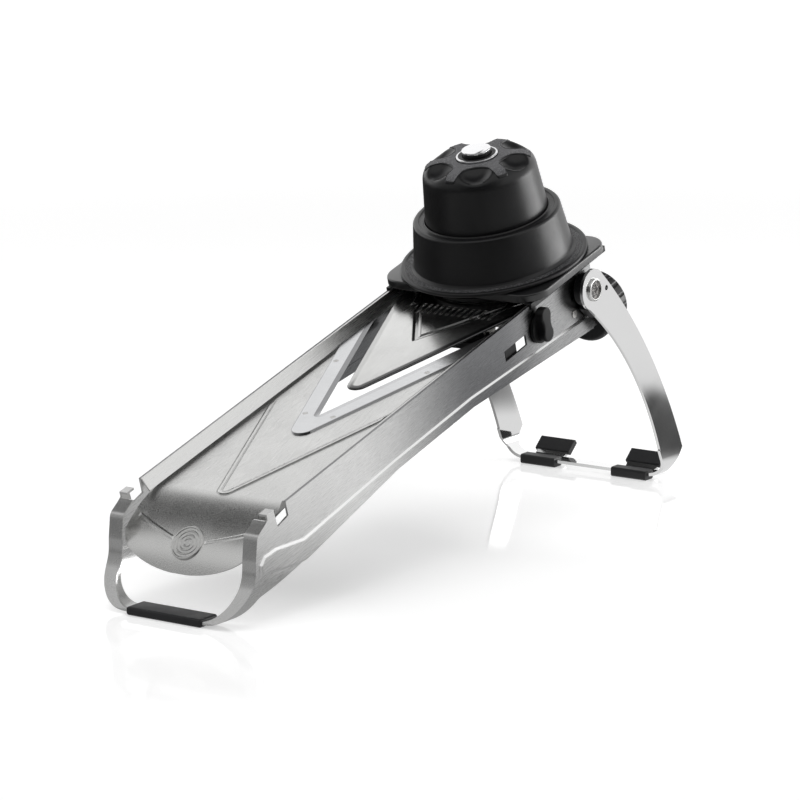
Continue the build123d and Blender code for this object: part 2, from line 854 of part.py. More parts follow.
def build_screw():
    """Lead screw with its inner collar; the dial is pinned on its rear end."""
    face = rear_plate_faces()[0]
    rod = rod_along(dial_v, dial_w, screw_diameter / 2, screw_front, dial_start() + dial_length - dial_cap)
    collar = screw_diameter / 2 + collar_wall
    rod += rod_along(dial_v, dial_w, collar, face - collar_ends[0], face - collar_ends[1])
    return on_deck(rod)


def build_dial():
    start = dial_start()
    radius = dial_diameter / 2
    body = rod_along(dial_v, dial_w, radius, start, start + dial_length)
    body = fillet(body.edges().filter_by(GeomType.CIRCLE), dial_round)
    for i in range(dial_grips):
        turn = 2 * pi * i / dial_grips
        v = dial_v + (radius + dial_grip_shift) * cos(turn)
        w = dial_w + (radius + dial_grip_shift) * sin(turn)
        body -= rod_along(v, w, dial_grip_radius, start + dial_face, start + dial_length + 1)
    body -= rod_along(dial_v, dial_w, screw_diameter / 2, start - 1, start + dial_length - dial_cap)
    hub_start = start - dial_gap + bush_flange + dial_hub_gap
    hub = rod_along(dial_v, dial_w, screw_diameter / 2 + bush_wall, hub_start, start)
    hub -= rod_along(dial_v, dial_w, screw_diameter / 2, start - dial_gap, start + 1)
    return on_deck(body + hub)


# ---------------------------------------------------------------- julienne comb
def build_comb_bar():
    low = comb_bar_top_w - comb_bar_height
    bar = block(comb_bar_start, comb_bar_end, -comb_bar_half_width, comb_bar_half_width, low, comb_bar_top_w)
    for v in comb_places():
        bar -= comb_tooth_blank(v)
    bar += block(comb_key_start, comb_key_end, -half_inner + comb_key_gap, 1.0 - comb_bar_half_width,
                 comb_key_top_w - comb_key_height, comb_key_top_w)
    return on_deck(bar)


def comb_tooth_blank(v):
    tooth = rod_across(lever_u, lever_w, comb_outer_radius, v - comb_tooth / 2, v + comb_tooth / 2)
    tooth -= rod_across(lever_u, lever_w, comb_inner_radius, v - comb_tooth, v + comb_tooth)
    root_w = comb_bar_top_w - comb_tooth_root
    return tooth & block(lever_u - cut_far, lever_u, v - comb_tooth, v + comb_tooth, root_w, comb_top_w)


def build_comb_teeth():
    return [on_deck(comb_tooth_blank(v)) for v in comb_places()]


def build_comb_shaft():
    """Cross shaft with the two arms that carry the comb bar."""
    radius = lever_shaft_diameter / 2
    shaft = rod_across(lever_u, lever_w, radius, -half_frame - shaft_stub(), half_frame + shaft_far_end)
    low = comb_bar_top_w - comb_bar_height
    for wall in (-1, 1):
        v0, v1 = sorted((wall * comb_arm_v, wall * (comb_arm_v + comb_arm)))
        arm = block(comb_bar_end, lever_u, v0, v1, low, comb_bar_top_w)
        arm += rod_across(lever_u, lever_w, radius + lever_boss_wall, v0, v1)
        shaft += arm
    return on_deck(shaft)


def shaft_stub():
    return knob_base_height + knob_gap + shaft_seat


def build_lever_bushes():
    bushes = []
    radius = lever_bush_radius()
    for wall in (-1, 1):
        v0, v1 = sorted((wall * (half_inner - lever_bush_flange), wall * half_frame))
        bush = rod_across(lever_u, lever_w, radius, v0, v1)
        f0, f1 = sorted((wall * (half_inner - lever_bush_flange), wall * half_inner))
        bush += rod_across(lever_u, lever_w, radius + lever_bush_rim, f0, f1)
        bush -= rod_across(lever_u, lever_w, lever_shaft_diameter / 2 + bush_clearance, -cut_far, cut_far)
        bushes.append(on_deck(bush))
    return bushes


def build_comb_knob():
    """Side knob: a round base with an upright grip."""
    outer = half_frame + knob_gap
    face_v = -outer - knob_base_height
    half = knob_grip_width / 2
    middle = lever_w + knob_grip_shift
    base = rod_across(lever_u, lever_w, knob_base_diameter / 2, face_v, -outer)
    grip = block(lever_u - half, lever_u + half, face_v - knob_grip_height, face_v,
                 middle - knob_grip_length / 2, middle + knob_grip_length / 2)
    grip = fillet(grip.edges().filter_by(Axis.Y), knob_grip_round)
    for side in (-1, 1):
        waist_u = lever_u + side * (half + knob_waist_radius - knob_waist_depth)
        grip -= rod_across(waist_u, middle, knob_waist_radius, -cut_far, 0)
    grip = fillet(grip.faces().sort_by(Axis.Y)[0].edges(), knob_edge_round)
    knob = base + grip
    knob -= rod_across(lever_u, lever_w, lever_shaft_diameter / 2, -half_frame - shaft_stub(), -half_frame)
    return on_deck(knob)


def build_shaft_clip():
    inner = half_frame + knob_gap
    clip = rod_across(lever_u, lever_w, lever_shaft_diameter / 2 + clip_wall, inner, inner + clip_sheet)
    clip -= rod_across(lever_u, lever_w, lever_shaft_diameter / 2, half_frame, half_frame + 3)
    return on_deck(clip)


# ---------------------------------------------------------------- leg
def from_pivot(offset):
    return (pivot_x + offset[0], pivot_z + offset[1])


def leg_profile(inset=0.0, end_z=None):
    """Side view of the leg band in (x, z): round head, curved band."""
    head = Pos(pivot_x, pivot_z) * Circle(leg_head_radius - inset)
    outer_start = (6.2, 10.0)
    outer = ThreePointArc(from_pivot(outer_start), from_pivot(leg_outer_mid), from_pivot(leg_outer_end))
    inner = ThreePointArc(from_pivot(leg_inner_end), from_pivot(leg_inner_mid), from_pivot(leg_inner_start))
    low = Line(from_pivot(leg_outer_end), from_pivot(leg_inner_end))
    close = Polyline(from_pivot(leg_inner_start), from_pivot((0, 0)), from_pivot(outer_start))
    band = make_face(outer + low + inner + close)
    return head + band


def build_leg():
    side = extrude(Plane.XZ.offset(-cut_far) * leg_profile(), amount=2 * cut_far)
    low = pivot_z + min(leg_outer_end[1], leg_inner_end[1]) + 6
    foot = [from_pivot(leg_outer_end), from_pivot((leg_outer_end[0] - 4.0, leg_outer_end[1] + 6)),
            from_pivot((leg_inner_end[0] - 3.0, leg_inner_end[1] + 6)), from_pivot(leg_inner_end),
            (pivot_x + bar_front, bar_z + leg_sheet + 4.0), (pivot_x + bar_front, bar_z - 3),
            (pivot_x + bar_rear, bar_z - 3), (pivot_x + bar_rear, bar_z + leg_sheet + 4.0)]
    side += across(foot, -cut_far, cut_far)
    outer = hoop_section(half_leg, bar_z, leg_corner_radius)
    inner = hoop_section(leg_inner_v, bar_z + leg_sheet, leg_corner_radius - leg_sheet)
    leg = extrude(Plane.YZ * (outer - inner), amount=600) & side
    for y in shoe_centres():
        leg += tab_solid(y, leg_sheet, shoe_width - tab_inset)
    leg -= pivot_bore(pivot_diameter / 2)
    hole = from_pivot((detent_offset * cos(radians(-4)), detent_offset * sin(radians(-4))))
    leg -= rod_across(hole[0], hole[1], detent_diameter / 2, -cut_far, cut_far)
    return on_floor(leg)


def pivot_bore(radius):
    return rod_across(pivot_x, pivot_z, radius, -cut_far, cut_far)


def shoe_centres():
    return (-shoe_offset, shoe_offset)


def tab_start():
    return (pivot_x + bar_rear + tab_root - leg_sheet * sin(radians(tab_angle)) * 0.4, bar_z)


def tab_solid(y, thick, width):
    """Tongue behind the crossbar that bends up at an angle."""
    rear = pivot_x + bar_rear
    flat = block(rear - 0.5, rear + tab_root, y - width / 2, y + width / 2, bar_z, bar_z + thick)
    a = radians(tab_angle)
    start = tab_start()
    run = tab_length + tab_bend
    tip = (start[0] + run * cos(a), start[1] + run * sin(a))
    shift = (-thick * sin(a), thick * cos(a))
    flap = across([start, tip, (tip[0] + shift[0], tip[1] + shift[1]),
                   (start[0] + shift[0], start[1] + shift[1])],
                  y - width / 2, y + width / 2)
    return flat + flap


def build_tab_sleeves():
    sleeves = []
    a = radians(tab_angle)
    start = tab_start()
    for y in shoe_centres():
        grow = (tab_sleeve - leg_sheet) / 2
        s0 = tab_bend
        s1 = tab_length + tab_bend + grow
        along = (cos(a), sin(a))
        up = (-sin(a), cos(a))
        corner = [(s0, -grow), (s1, -grow), (s1, leg_sheet + grow), (s0, leg_sheet + grow)]
        points = [(start[0] + s * along[0] + n * up[0], start[1] + s * along[1] + n * up[1])
                  for s, n in corner]
        sleeve = across(points, y - shoe_width / 2, y + shoe_width / 2)
        sleeve = fillet(sleeve.edges().filter_by(Axis.Y), 0.8)
        sleeve -= tab_solid(y, leg_sheet, shoe_width - tab_inset)
        sleeves.append(on_floor(sleeve))
    return sleeves


def build_shoes():
    shoes = []
    front = pivot_x + bar_front - 2.2
    for y in shoe_centres():
        shoe = block(front, front + shoe_depth, y - shoe_width / 2, y + shoe_width / 2, 0, shoe_height)
        shoe = fillet(shoe.edges().filter_by(Axis.Y), 1.4)
        shoe -= block(pivot_x + bar_front, front + shoe_depth + 1, y - shoe_width, y + shoe_width,
                      bar_z, bar_z + leg_sheet)
        shoes.append(on_floor(shoe))
    return shoes


def build_spacers():
    """Black liners fixed inside the leg, between the band and the walls."""
    spacers = []
    limit = Circle(spacer_length)
    head = leg_profile(spacer_inset)
    shape = head & (Pos(pivot_x, pivot_z) * limit)
    for wall in (-1, 1):
        v0, v1 = sorted((wall * (half_frame + border_raise + spacer_gap), wall * leg_inner_v))
        solid = extrude(Plane.XZ.offset(-v1) * shape, amount=v1 - v0)
        spacers.append(on_floor(solid - pivot_bore(pivot_diameter / 2 + 0.3)))
    return spacers


def build_pivots():
    """Pivot screws through leg, liner and wall, each head cupped round its socket."""
    screws = []
    for wall in (-1, 1):
        v0, v1 = sorted((wall * (half_inner - nut_height - 0.6), wall * half_leg))
        shank = rod_across(pivot_x, pivot_z, pivot_diameter / 2, v0, v1)
        h0, h1 = sorted((wall * half_leg, wall * (half_leg + screw_head_height)))
        head = rod_across(pivot_x, pivot_z, screw_head_diameter / 2, h0, h1)
        outer = head.faces().sort_by(Axis.Y)[0 if wall < 0 else -1]
        head = chamfer(outer.edges(), 0.5)
        face_v = wall * (half_leg + screw_head_height)
        hexagon = Pos(pivot_x, pivot_z) * RegularPolygon(screw_socket / 2, 6)
        socket = extrude(Plane.XZ.offset(-face_v) * hexagon,
                         amount=screw_recess_depth + screw_socket_depth, both=True)
        r0, r1 = sorted((face_v + wall, face_v - wall * screw_recess_depth))
        recess = rod_across(pivot_x, pivot_z, screw_recess_radius, r0, r1)
        screws.append(on_floor(shank + head - recess - socket))
    return screws


def build_nuts():
    nuts = []
    for wall in (-1, 1):
        inner = wall * (half_inner - nut_height - 0.1)
        outer = wall * (half_inner - 0.1)
        v0, v1 = sorted((inner, outer))
        face = Pos(pivot_x, pivot_z) * (RegularPolygon(nut_across / 2, 6, major_radius=False)
                                        - Circle(pivot_diameter / 2))
        nuts.append(on_floor(extrude(Plane.XZ.offset(-v1) * face, amount=v1 - v0)))
    return nuts


def build_front_pad():
    half = front_pad_width / 2
    pad = block(front_pad_front, front_pad_rear, -half, half, 0, front_pad_height)
    pad = fillet(pad.edges(), front_pad_round)
    pad -= block(foot_front_x, front_pad_rear + 5, -front_pad_width, front_pad_width,
                 foot_z, foot_z + frame_sheet)
    return on_floor(pad)


# ---------------------------------------------------------------- carriage
def pusher(shape):
    """Place a solid turned about the pusher axis."""
    return on_deck(Pos(pusher_u, 0, 0) * shape)


def build_carriage():
    plate = Pos(0, 0, carriage_bottom_w) * extrude(
        RectangleRounded(carriage_length, carriage_width, carriage_corner), amount=carriage_height)
    top = [e for e in plate.edges().filter_by(Plane.XY) if abs(e.center().Z - carriage_top_w) < 0.01]
    plate = fillet(top, 1.0)
    plate -= Cylinder(well_radius + well_wall + turn_gap, 2 * cut_far)
    return pusher(plate)


def build_runners():
    """Slippery strips under the plate that ride on the two rails."""
    strips = []
    middle = half_frame - runner_width / 2 + 0.4
    half = carriage_length / 2 - 1.0
    for wall in (-1, 1):
        v0, v1 = sorted((wall * (middle - runner_width / 2), wall * (middle + runner_width / 2)))
        strip = block(-half, half, v0, v1, carriage_bottom_w - runner_height, carriage_bottom_w)
        lip_v = half_frame + runner_lip_gap
        v0, v1 = sorted((wall * lip_v, wall * (lip_v + runner_lip)))
        strip += block(-half, half, v0, v1, rail_rise - runner_lip_depth, carriage_bottom_w)
        strips.append(pusher(strip))
    return strips


def build_housing():
    """Pusher housing: food well, brim, stepped tier and plunger sleeve."""
    tier_in_base = tier_base_radius - tier_wall
    tier_in_top = tier_top_radius - tier_wall
    points = [
        (well_radius, well_bottom_w), (well_radius + well_wall, well_bottom_w),
        (well_radius + well_wall, brim_low),
        (brim_radius, brim_low), (brim_radius, brim_top + 0.5), (brim_radius - 2.4, brim_top + 0.5),
        (brim_radius - 2.8, brim_top), (tier_base_radius + 1.2, brim_top), (tier_base_radius, brim_top + 1.4),
        (tier_top_radius, tier_top_w), (sleeve_radius, tier_top_w), (sleeve_radius, sleeve_bottom_w),
        (sleeve_radius + 1.8, sleeve_bottom_w), (sleeve_radius + 1.8, tier_top_w - tier_wall - 0.6),
        (tier_in_top, tier_top_w - tier_wall - 0.6), (tier_in_base, brim_top), (well_radius, brim_top),
    ]
    body = turned(points)
    rim = [e for e in body.edges().filter_by(GeomType.CIRCLE)
           if abs(e.center().Z - tier_top_w) < 0.01 and abs(e.radius - tier_top_radius) < 0.01]
    body = fillet(rim, tier_round * 0.6)
    return pusher(body)


def build_ring():
    high = carriage_bottom_w - ring_gap
    ring = Pos(0, 0, high - ring_height / 2) * Cylinder(ring_radius, ring_height)
    ring -= Cylinder(well_radius + well_wall, 2 * cut_far)
    return pusher(ring)


def build_cap():
    """Plunger cap: tapered hollow dome with a flange at its lower edge."""
    outer = sleeve_radius - cap_gap
    flange_top = cap_bottom_w + cap_flange_height
    round_start = cap_top_w - cap_round
    taper = (outer - cap_top_radius) / (cap_top_w - cap_taper_w)
    shoulder = outer - taper * (round_start - cap_taper_w)
    inner_shoulder = outer - cap_wall - taper * (cap_inner_shoulder_w - cap_taper_w)
    roof_w = cap_top_w - cap_wall
    line = Line((0, roof_w), (0, cap_top_w))
    top = Line((0, cap_top_w), (shoulder - cap_round, cap_top_w))
    arc = RadiusArc((shoulder - cap_round, cap_top_w), (shoulder, round_start), cap_round)
    side = Polyline((shoulder, round_start), (outer, cap_taper_w), (outer, flange_top),
                    (cap_flange_radius, flange_top), (cap_flange_radius, cap_bottom_w),
                    (outer - cap_wall, cap_bottom_w), (outer - cap_wall, cap_taper_w),
                    (inner_shoulder, cap_inner_shoulder_w), (cap_roof_radius, roof_w), (0, roof_w))
    face = make_face(line + top + arc + side)
    body = revolve(Plane.XZ * face, axis=Axis.Z)
    return body


def cap_scallops():
    """Finger dips pressed into the rim of the cap."""
    ball = Pos(scallop_place, 0, cap_top_w + scallop_rise) * Sphere(scallop_radius)
    return [Rot(0, 0, 360 / scallops * (i + 0.5)) * ball for i in range(scallops)]


def build_plunger():
    body = build_cap()
    for cut in cap_scallops():
        body -= cut
    body -= Pos(0, 0, cap_top_w - insert_sheet) * extrude(insert_face(0.0), amount=5)
    boss_top = cap_top_w - boss_wall
    boss_radius = washer_seat_radius + boss_wall
    body += Pos(0, 0, (collar_top_w + boss_top) / 2) * Cylinder(boss_radius, boss_top - collar_top_w)
    body -= Pos(0, 0, pocket_w + cut_far) * Cylinder(washer_seat_radius, 2 * cut_far)
    body -= Cylinder(stem_diameter / 2 + stem_gap, 2 * cut_far)
    return pusher(body)


def insert_face(shrink):
    """Star outline: a disc with a round bite at each finger dip."""
    face = Circle(insert_radius - shrink)
    bite = sqrt(scallop_radius ** 2 - scallop_rise ** 2) + insert_land + shrink
    for i in range(scallops):
        turn = radians(360 / scallops * (i + 0.5))
        face -= Pos(scallop_place * cos(turn), scallop_place * sin(turn)) * Circle(bite)
    return fillet(face.vertices(), insert_tip_round)


def build_insert():
    star = extrude(insert_face(insert_gap), amount=insert_sheet + insert_proud)
    star = Pos(0, 0, cap_top_w - insert_sheet) * star
    star -= Cylinder(washer_seat_radius, 2 * cut_far)
    return pusher(star)


def build_washer():
    low = cap_top_w + 0.4
    ring = Pos(0, 0, low + washer_height / 2) * Cylinder(washer_radius, washer_height)
    ring -= Cylinder(washer_seat_radius, 2 * cut_far)
    ring = fillet([e for e in ring.edges().filter_by(GeomType.CIRCLE)
                   if e.radius > washer_radius - 0.1 and e.center().Z > low + 0.5], 0.4)
    return pusher(ring)


def spike_places():
    rings = zip(spike_ring_radii, spike_ring_counts)
    return [(radius, 360 / count * i) for radius, count in rings for i in range(count)]


def at_spikes(tool):
    return [Rot(0, 0, turn) * Pos(radius, 0, 0) * tool for radius, turn in spike_places()]


def build_disc():
    """Food holder disc that closes the cap, with the seats of its spikes."""
    radius = sleeve_radius - cap_gap - cap_wall - seat_gap
    disc = Pos(0, 0, cap_bottom_w + disc_sheet / 2) * Cylinder(radius, disc_sheet)
    disc -= Cylinder(stem_diameter / 2 + stem_gap, 2 * cut_far)
    for spike in at_spikes(Pos(0, 0, cap_bottom_w) * Cylinder(spike_diameter / 2, 40)):
        disc -= spike
    return pusher(disc)


def build_spikes():
    top = cap_bottom_w + disc_sheet
    tip = cap_bottom_w - spike_length
    point = tip + spike_point
    spike = Pos(0, 0, (top + point) / 2) * Cylinder(spike_diameter / 2, top - point)
    spike += Pos(0, 0, tip + spike_point / 2) * Cone(spike_point_radius, spike_diameter / 2, spike_point)
    return [pusher(item) for item in at_spikes(spike)]


def build_ejector():
    """Thin plate under the disc that slides down the spikes to free the food."""
    high = cap_bottom_w - ejector_gap
    plate = Pos(0, 0, high - ejector_sheet / 2) * Cylinder(ejector_radius, ejector_sheet)
    for spike in at_spikes(Pos(0, 0, high) * Cylinder(spike_diameter / 2 + 0.5, 40)):
        plate -= spike
    plate -= Cylinder(stem_diameter / 2, 2 * cut_far)
    return pusher(plate)


def build_stem():
    low = cap_bottom_w - ejector_gap - ejector_sheet
    high = button_low_w + button_height - button_cap
    stem = Pos(0, 0, (low + high) / 2) * Cylinder(stem_diameter / 2, high - low)
    collar_middle = collar_top_w - stem_gap - stem_collar_height / 2
    stem += Pos(0, 0, collar_middle) * Cylinder(stem_collar_radius, stem_collar_height)
    return pusher(stem)


def build_button():
    low = button_low_w
    side = button_height - button_cap
    body = Pos(0, 0, low + side / 2) * Cylinder(button_radius, side)
    body -= Cylinder(stem_diameter / 2, 2 * cut_far)
    return pusher(body)


def build_button_cap():
    low = button_low_w + button_height - button_cap
    cap = Pos(0, 0, low + button_cap / 2) * Cylinder(button_radius, button_cap)
    cap = fillet([e for e in cap.edges().filter_by(GeomType.CIRCLE) if e.center().Z > low + 0.5], 0.45)
    return pusher(cap)


def coil(radius, wire, turns, low, high):
    """Spring with level ends from a helix through the wire centres."""
    height = high - low - wire
    path = Pos(0, 0, low + wire / 2) * Helix(height / turns, height, radius)
    start = path @ 0
    section = Plane(origin=start, z_dir=path % 0) * Circle(wire / 2)
    return sweep(section, path=path)


def build_plunger_spring():
    ends = brim_top + spring_gap, cap_bottom_w - spring_gap
    return pusher(coil(spring_radius, spring_wire, spring_turns, *ends))


def build_button_spring():
    low = cap_bottom_w + disc_sheet + spring_gap
    high = collar_top_w - stem_gap - stem_collar_height - spring_gap
    return pusher(coil(release_radius, release_wire, release_turns, low, high))


def build_frame_rivets():
    """Domed rivets that hold the guide plates and the rear plate to the walls."""
    rivets = []
    rear_tab_v = half_inner - seat_gap - rear_plate_sheet
    for (u, w), inner in zip(rivet_places(), (guide_v, guide_v, rear_tab_v)):
        for wall in (-1, 1):
            v0, v1 = sorted((wall * inner, wall * half_frame))
            h0, h1 = sorted((wall * half_frame, wall * (half_frame + rivet_head_height)))
            shank = rod_across(u, w, rivet_radius, v0, v1)
            rivets.append(on_deck(shank + rod_across(u, w, rivet_head, h0, h1)))
    return rivets


# ---------------------------------------------------------------- export
def group(solids):
    return Compound(children=list(solids))


def build_medal():
    """Plain round medal with concentric rings on the tongue."""
    a = radians(medal_angle)
    place = (bend_start - tongue_radius * sin(a), -tongue_radius + tongue_radius * cos(a))
    plane = Plane(origin=(place[0], 0, place[1]), x_dir=(cos(a), 0, sin(a)), z_dir=(-sin(a), 0, cos(a)))
    disc = extrude(plane * Circle(medal_diameter / 2), amount=medal_rise)
    disc += extrude(plane * Circle(medal_diameter / 2), amount=-1.2)
    under = Pos(bend_start, 0, -tongue_radius) * Rot(90, 0, 0) * Cylinder(tongue_radius, 200)
    disc -= under
    return on_deck(disc)


builders = {
    "frame": build_frame,
    "deck": lambda: drill_blade_screws(build_deck()),
    "deck_medal": build_medal,
    "v_blade": lambda: drill_blade_screws(build_blade()),
    "blade_support": build_support,
    "blade_screws": lambda: group(build_blade_screws()),
    "ramp": build_ramp,
    "ramp_pins": lambda: group(build_lift_pins()),
    "lift_slide": build_slide,
    "lift_nut": build_nut,
    "guide_plates": lambda: group(build_guides()),
    "rear_plate": build_rear_plate,
    "frame_rivets": lambda: group(build_frame_rivets()),
    "screw_bush": build_screw_bush,
    "lift_screw": build_screw,
    "thickness_dial": build_dial,
    "comb_bar": build_comb_bar,
    "comb_teeth": lambda: group(build_comb_teeth()),
    "comb_shaft": build_comb_shaft,
    "comb_bushes": lambda: group(build_lever_bushes()),
    "comb_knob": build_comb_knob,
    "comb_shaft_clip": build_shaft_clip,
    "rear_leg": build_leg,
    "leg_liners": lambda: group(build_spacers()),
    "leg_pivots": lambda: group(build_pivots()),
    "leg_nuts": lambda: group(build_nuts()),
    "leg_shoes": lambda: group(build_shoes()),
    "leg_tab_sleeves": lambda: group(build_tab_sleeves()),
    "front_pad": build_front_pad,
    "carriage_plate": build_carriage,
    "carriage_runners": lambda: group(build_runners()),
    "pusher_housing": build_housing,
    "housing_ring": build_ring,
    "plunger_cap": build_plunger,
    "grip_insert": build_insert,
    "button_washer": build_washer,
    "spike_disc": build_disc,
    "food_spikes": lambda: group(build_spikes()),
    "ejector_plate": build_ejector,
    "button_stem": build_stem,
    "release_button": build_button,
    "button_cap": build_button_cap,
    "plunger_spring": build_plunger_spring,
    "button_spring": build_button_spring,
}

os.makedirs("parts", exist_ok=True)
for name, build in builders.items():
    export_step(build(), f"parts/{name}.step")
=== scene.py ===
import json
import math

import bmesh
import bpy
import numpy as np
from bpy.props import FloatProperty, FloatVectorProperty, IntProperty, PointerProperty
from mathutils import Matrix, Vector


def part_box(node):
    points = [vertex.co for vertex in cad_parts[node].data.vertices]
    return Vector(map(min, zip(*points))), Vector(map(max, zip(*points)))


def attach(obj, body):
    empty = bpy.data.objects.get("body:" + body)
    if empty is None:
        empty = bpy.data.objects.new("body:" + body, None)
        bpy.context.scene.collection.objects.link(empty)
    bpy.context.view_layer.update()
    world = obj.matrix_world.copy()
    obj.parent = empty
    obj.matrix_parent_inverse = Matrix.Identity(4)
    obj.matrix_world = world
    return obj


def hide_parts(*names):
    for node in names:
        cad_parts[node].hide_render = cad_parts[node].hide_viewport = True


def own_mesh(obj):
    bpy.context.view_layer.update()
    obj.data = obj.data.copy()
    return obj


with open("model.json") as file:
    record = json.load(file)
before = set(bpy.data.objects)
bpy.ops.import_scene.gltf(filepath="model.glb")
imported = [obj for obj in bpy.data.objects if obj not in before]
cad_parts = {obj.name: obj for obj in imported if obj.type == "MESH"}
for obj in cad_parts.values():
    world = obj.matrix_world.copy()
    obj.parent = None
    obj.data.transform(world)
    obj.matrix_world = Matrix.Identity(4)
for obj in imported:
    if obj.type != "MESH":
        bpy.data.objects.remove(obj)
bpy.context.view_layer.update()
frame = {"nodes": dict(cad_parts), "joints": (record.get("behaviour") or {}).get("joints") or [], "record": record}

bl_info = {
    "name": "Mandoline slicer",
    "version": (1, 0, 0),
    "blender": (4, 5, 0),
    "location": "3D View > Sidebar > Slicer",
    "description": "Dresses the jointed mandoline slicer and sets up its studio",
    "category": "Object",
}

JOINT = {joint["name"]: joint for joint in frame["joints"]}
MM = 0.001

# Deck frame: u up the slope, v across, w square to the deck, all in millimetres.
UPHILL = -Vector(JOINT["carriage_slide"]["axis"])
SQUARE = -Vector(JOINT["ramp_lift"]["axis"])
ACROSS = Vector((0.0, 1.0, 0.0))
PUSHER_U = 342.0
PUSHER_W = 20.0
DECK_TURN = Matrix((UPHILL, ACROSS, SQUARE)).transposed().to_4x4()
DECK_ORIGIN = Vector(JOINT["pusher_turn"]["pos_m"]) - (UPHILL * PUSHER_U + SQUARE * PUSHER_W) * MM
DECK = Matrix.Translation(DECK_ORIGIN) @ DECK_TURN @ Matrix.Scale(MM, 4)
PUSHER = DECK @ Matrix.Translation((PUSHER_U, 0.0, 0.0))
SLOPE = math.atan2(UPHILL.z, UPHILL.x)

# Pressed and cut outlines that the finishes follow, in deck millimetres.
WALL_FACE, RIDGE_FACE = 47.2, 48.4
RAIL_TOP = 6.4
WALL_FRONT = 62.0  # where the side walls begin
PANEL_REAR, PANEL_SIDE = 180.0, 36.0  # where the V panel's pressed lines fade out
TONGUE_FALL, TONGUE_DROP = 0.18, 11.9  # tongue crease: slope from the middle and depth there
BLADE_SLOPE = 0.35
PANEL_VEE = (63.8, BLADE_SLOPE, 4.6)  # tip, slope and rounding of each V line
PLATE_VEE = (128.5, BLADE_SLOPE, 6.4)
EDGE_VEE = (163.0, BLADE_SLOPE, 0.4)
RAMP_VEE = (182.4, BLADE_SLOPE, 6.0)
GROOVE_VEE = (254.0, 0.63, 1.6)
MEDAL_RADIUS = 9.5
MEDAL_LEAN = math.radians(34.5)  # lean of the medal from the deck
BRIM_INNER, BRIM_OUTER = 46.6, 50.4
TRIM_BRIGHT = 10.5  # inner radius of the bright part of the trim ring
CUP_RADIUS = 0.0050  # dark cup of each leg screw, in metres

# Outline of the housing shell: radius, height and rounding of each corner.
HOUSING_LINE = (
    (36.4, 3.4, 0.0), (38.6, 3.4, 0.3), (38.6, 12.6, 0.2),                          # foot
    (53.2, 12.6, 1.0), (53.2, 15.1, 1.0), (50.8, 15.1, 0.9), (50.2, 14.6, 0.3),     # rolled brim
    (46.6, 14.6, 0.3), (46.0, 15.2, 0.4), (45.2, 16.4, 1.6),                        # flat of the brim
    (41.6, 41.5, 2.6), (38.6, 41.5, 0.3), (38.2, 40.9, 0.2),                        # shoulder
    (36.0, 40.9, 0.2), (35.6, 41.5, 0.2), (35.0, 41.5, 0.3),                        # groove
    (35.0, 35.0, 0.2), (36.8, 35.0, 0.2), (36.8, 38.5, 0.2), (39.0, 38.5, 0.3),     # inner lip
    (42.6, 14.8, 0.4), (36.4, 14.8, 0.2), (36.4, 3.4, 0.0))                         # inside

# Plunger cap about the pusher axis, in millimetres.
CAP_FOOT_RADIUS, CAP_FOOT = 34.6, 43.0
CAP_TOP_RADIUS = 31.2
CAP_CORE = 55.0  # height from which rays look for the cap's surface
RAY_LENGTH, RAY_HALVINGS = 60.0, 32
CAP_COLUMNS = 288
DIP_BLEND = 1.5  # width of the soft edge round each dip
POCKET_RADIUS = 8.55  # where the cap's top meets the button pocket
STAR_START = 12.2  # inner radius of the grip insert

# Inside of the cap from its outer skin to the button pocket: radius and height.
CAP_WALLS = (
    (34.6, 41.0), (34.6, 34.6), (39.4, 34.6), (39.4, 32.6), (31.2, 32.6), (31.2, 43.0), (29.4, 60.0),
    (16.0, 71.6), (10.5, 71.6), (10.5, 66.6), (2.65, 66.6), (2.65, 70.0), (8.5, 70.0), (8.5, 74.8))

# Studio: camera place and angles, and the floor spots that the steel mirrors, in metres.
CAMERA_PLACE = (-1.68364, -1.1666, 0.5098)
CAMERA_YAW, CAMERA_PITCH, CAMERA_ROLL = 34.73, -11.94, -0.43
CAMERA_LENS = 172.6
LAMP_AIM = (0.02, 0.0, 0.08)
HOOP_SPOT, SHOE_SPOT = (-0.27, -0.02), (0.14, -0.05)
POOL_SPOT, CARD_SPOT = (-0.30, 0.05), (0.32, -0.14)


# ---- sizes and colours ----
class SlicerSizes(bpy.types.PropertyGroup):
    fold_bevel: FloatProperty(name="Fold bevel", description="Rounding of sheet edges", default=0.00022,
                              unit="LENGTH")
    cap_top: FloatProperty(name="Cap top", description="Height of the cap above the deck, mm", default=75.0)
    cap_round: FloatProperty(name="Cap shoulder", description="Radius of the cap's shoulder, mm", default=9.0)
    dip_count: IntProperty(name="Finger dips", description="Finger dips round the cap", default=6)
    dip_radius: FloatProperty(name="Dip radius", description="Radius of the ball that presses a dip, mm",
                              default=13.4)
    dip_place: FloatProperty(name="Dip place", description="Distance of each dip from the axis, mm",
                             default=27.0)
    dip_rise: FloatProperty(name="Dip rise", description="Height of the ball's centre over the cap, mm",
                            default=8.6)
    dip_land: FloatProperty(name="Dip land", description="Rim between each dip and the insert, mm",
                            default=0.3)
    star_tip: FloatProperty(name="Star tip", description="Reach of the grip insert's arms, mm", default=29.4)
    spring_turns: FloatProperty(name="Spring turns", description="Turns of the plunger spring", default=3.0)
    ring_count: IntProperty(name="Medal rings", description="Rings pressed into the medal", default=3)


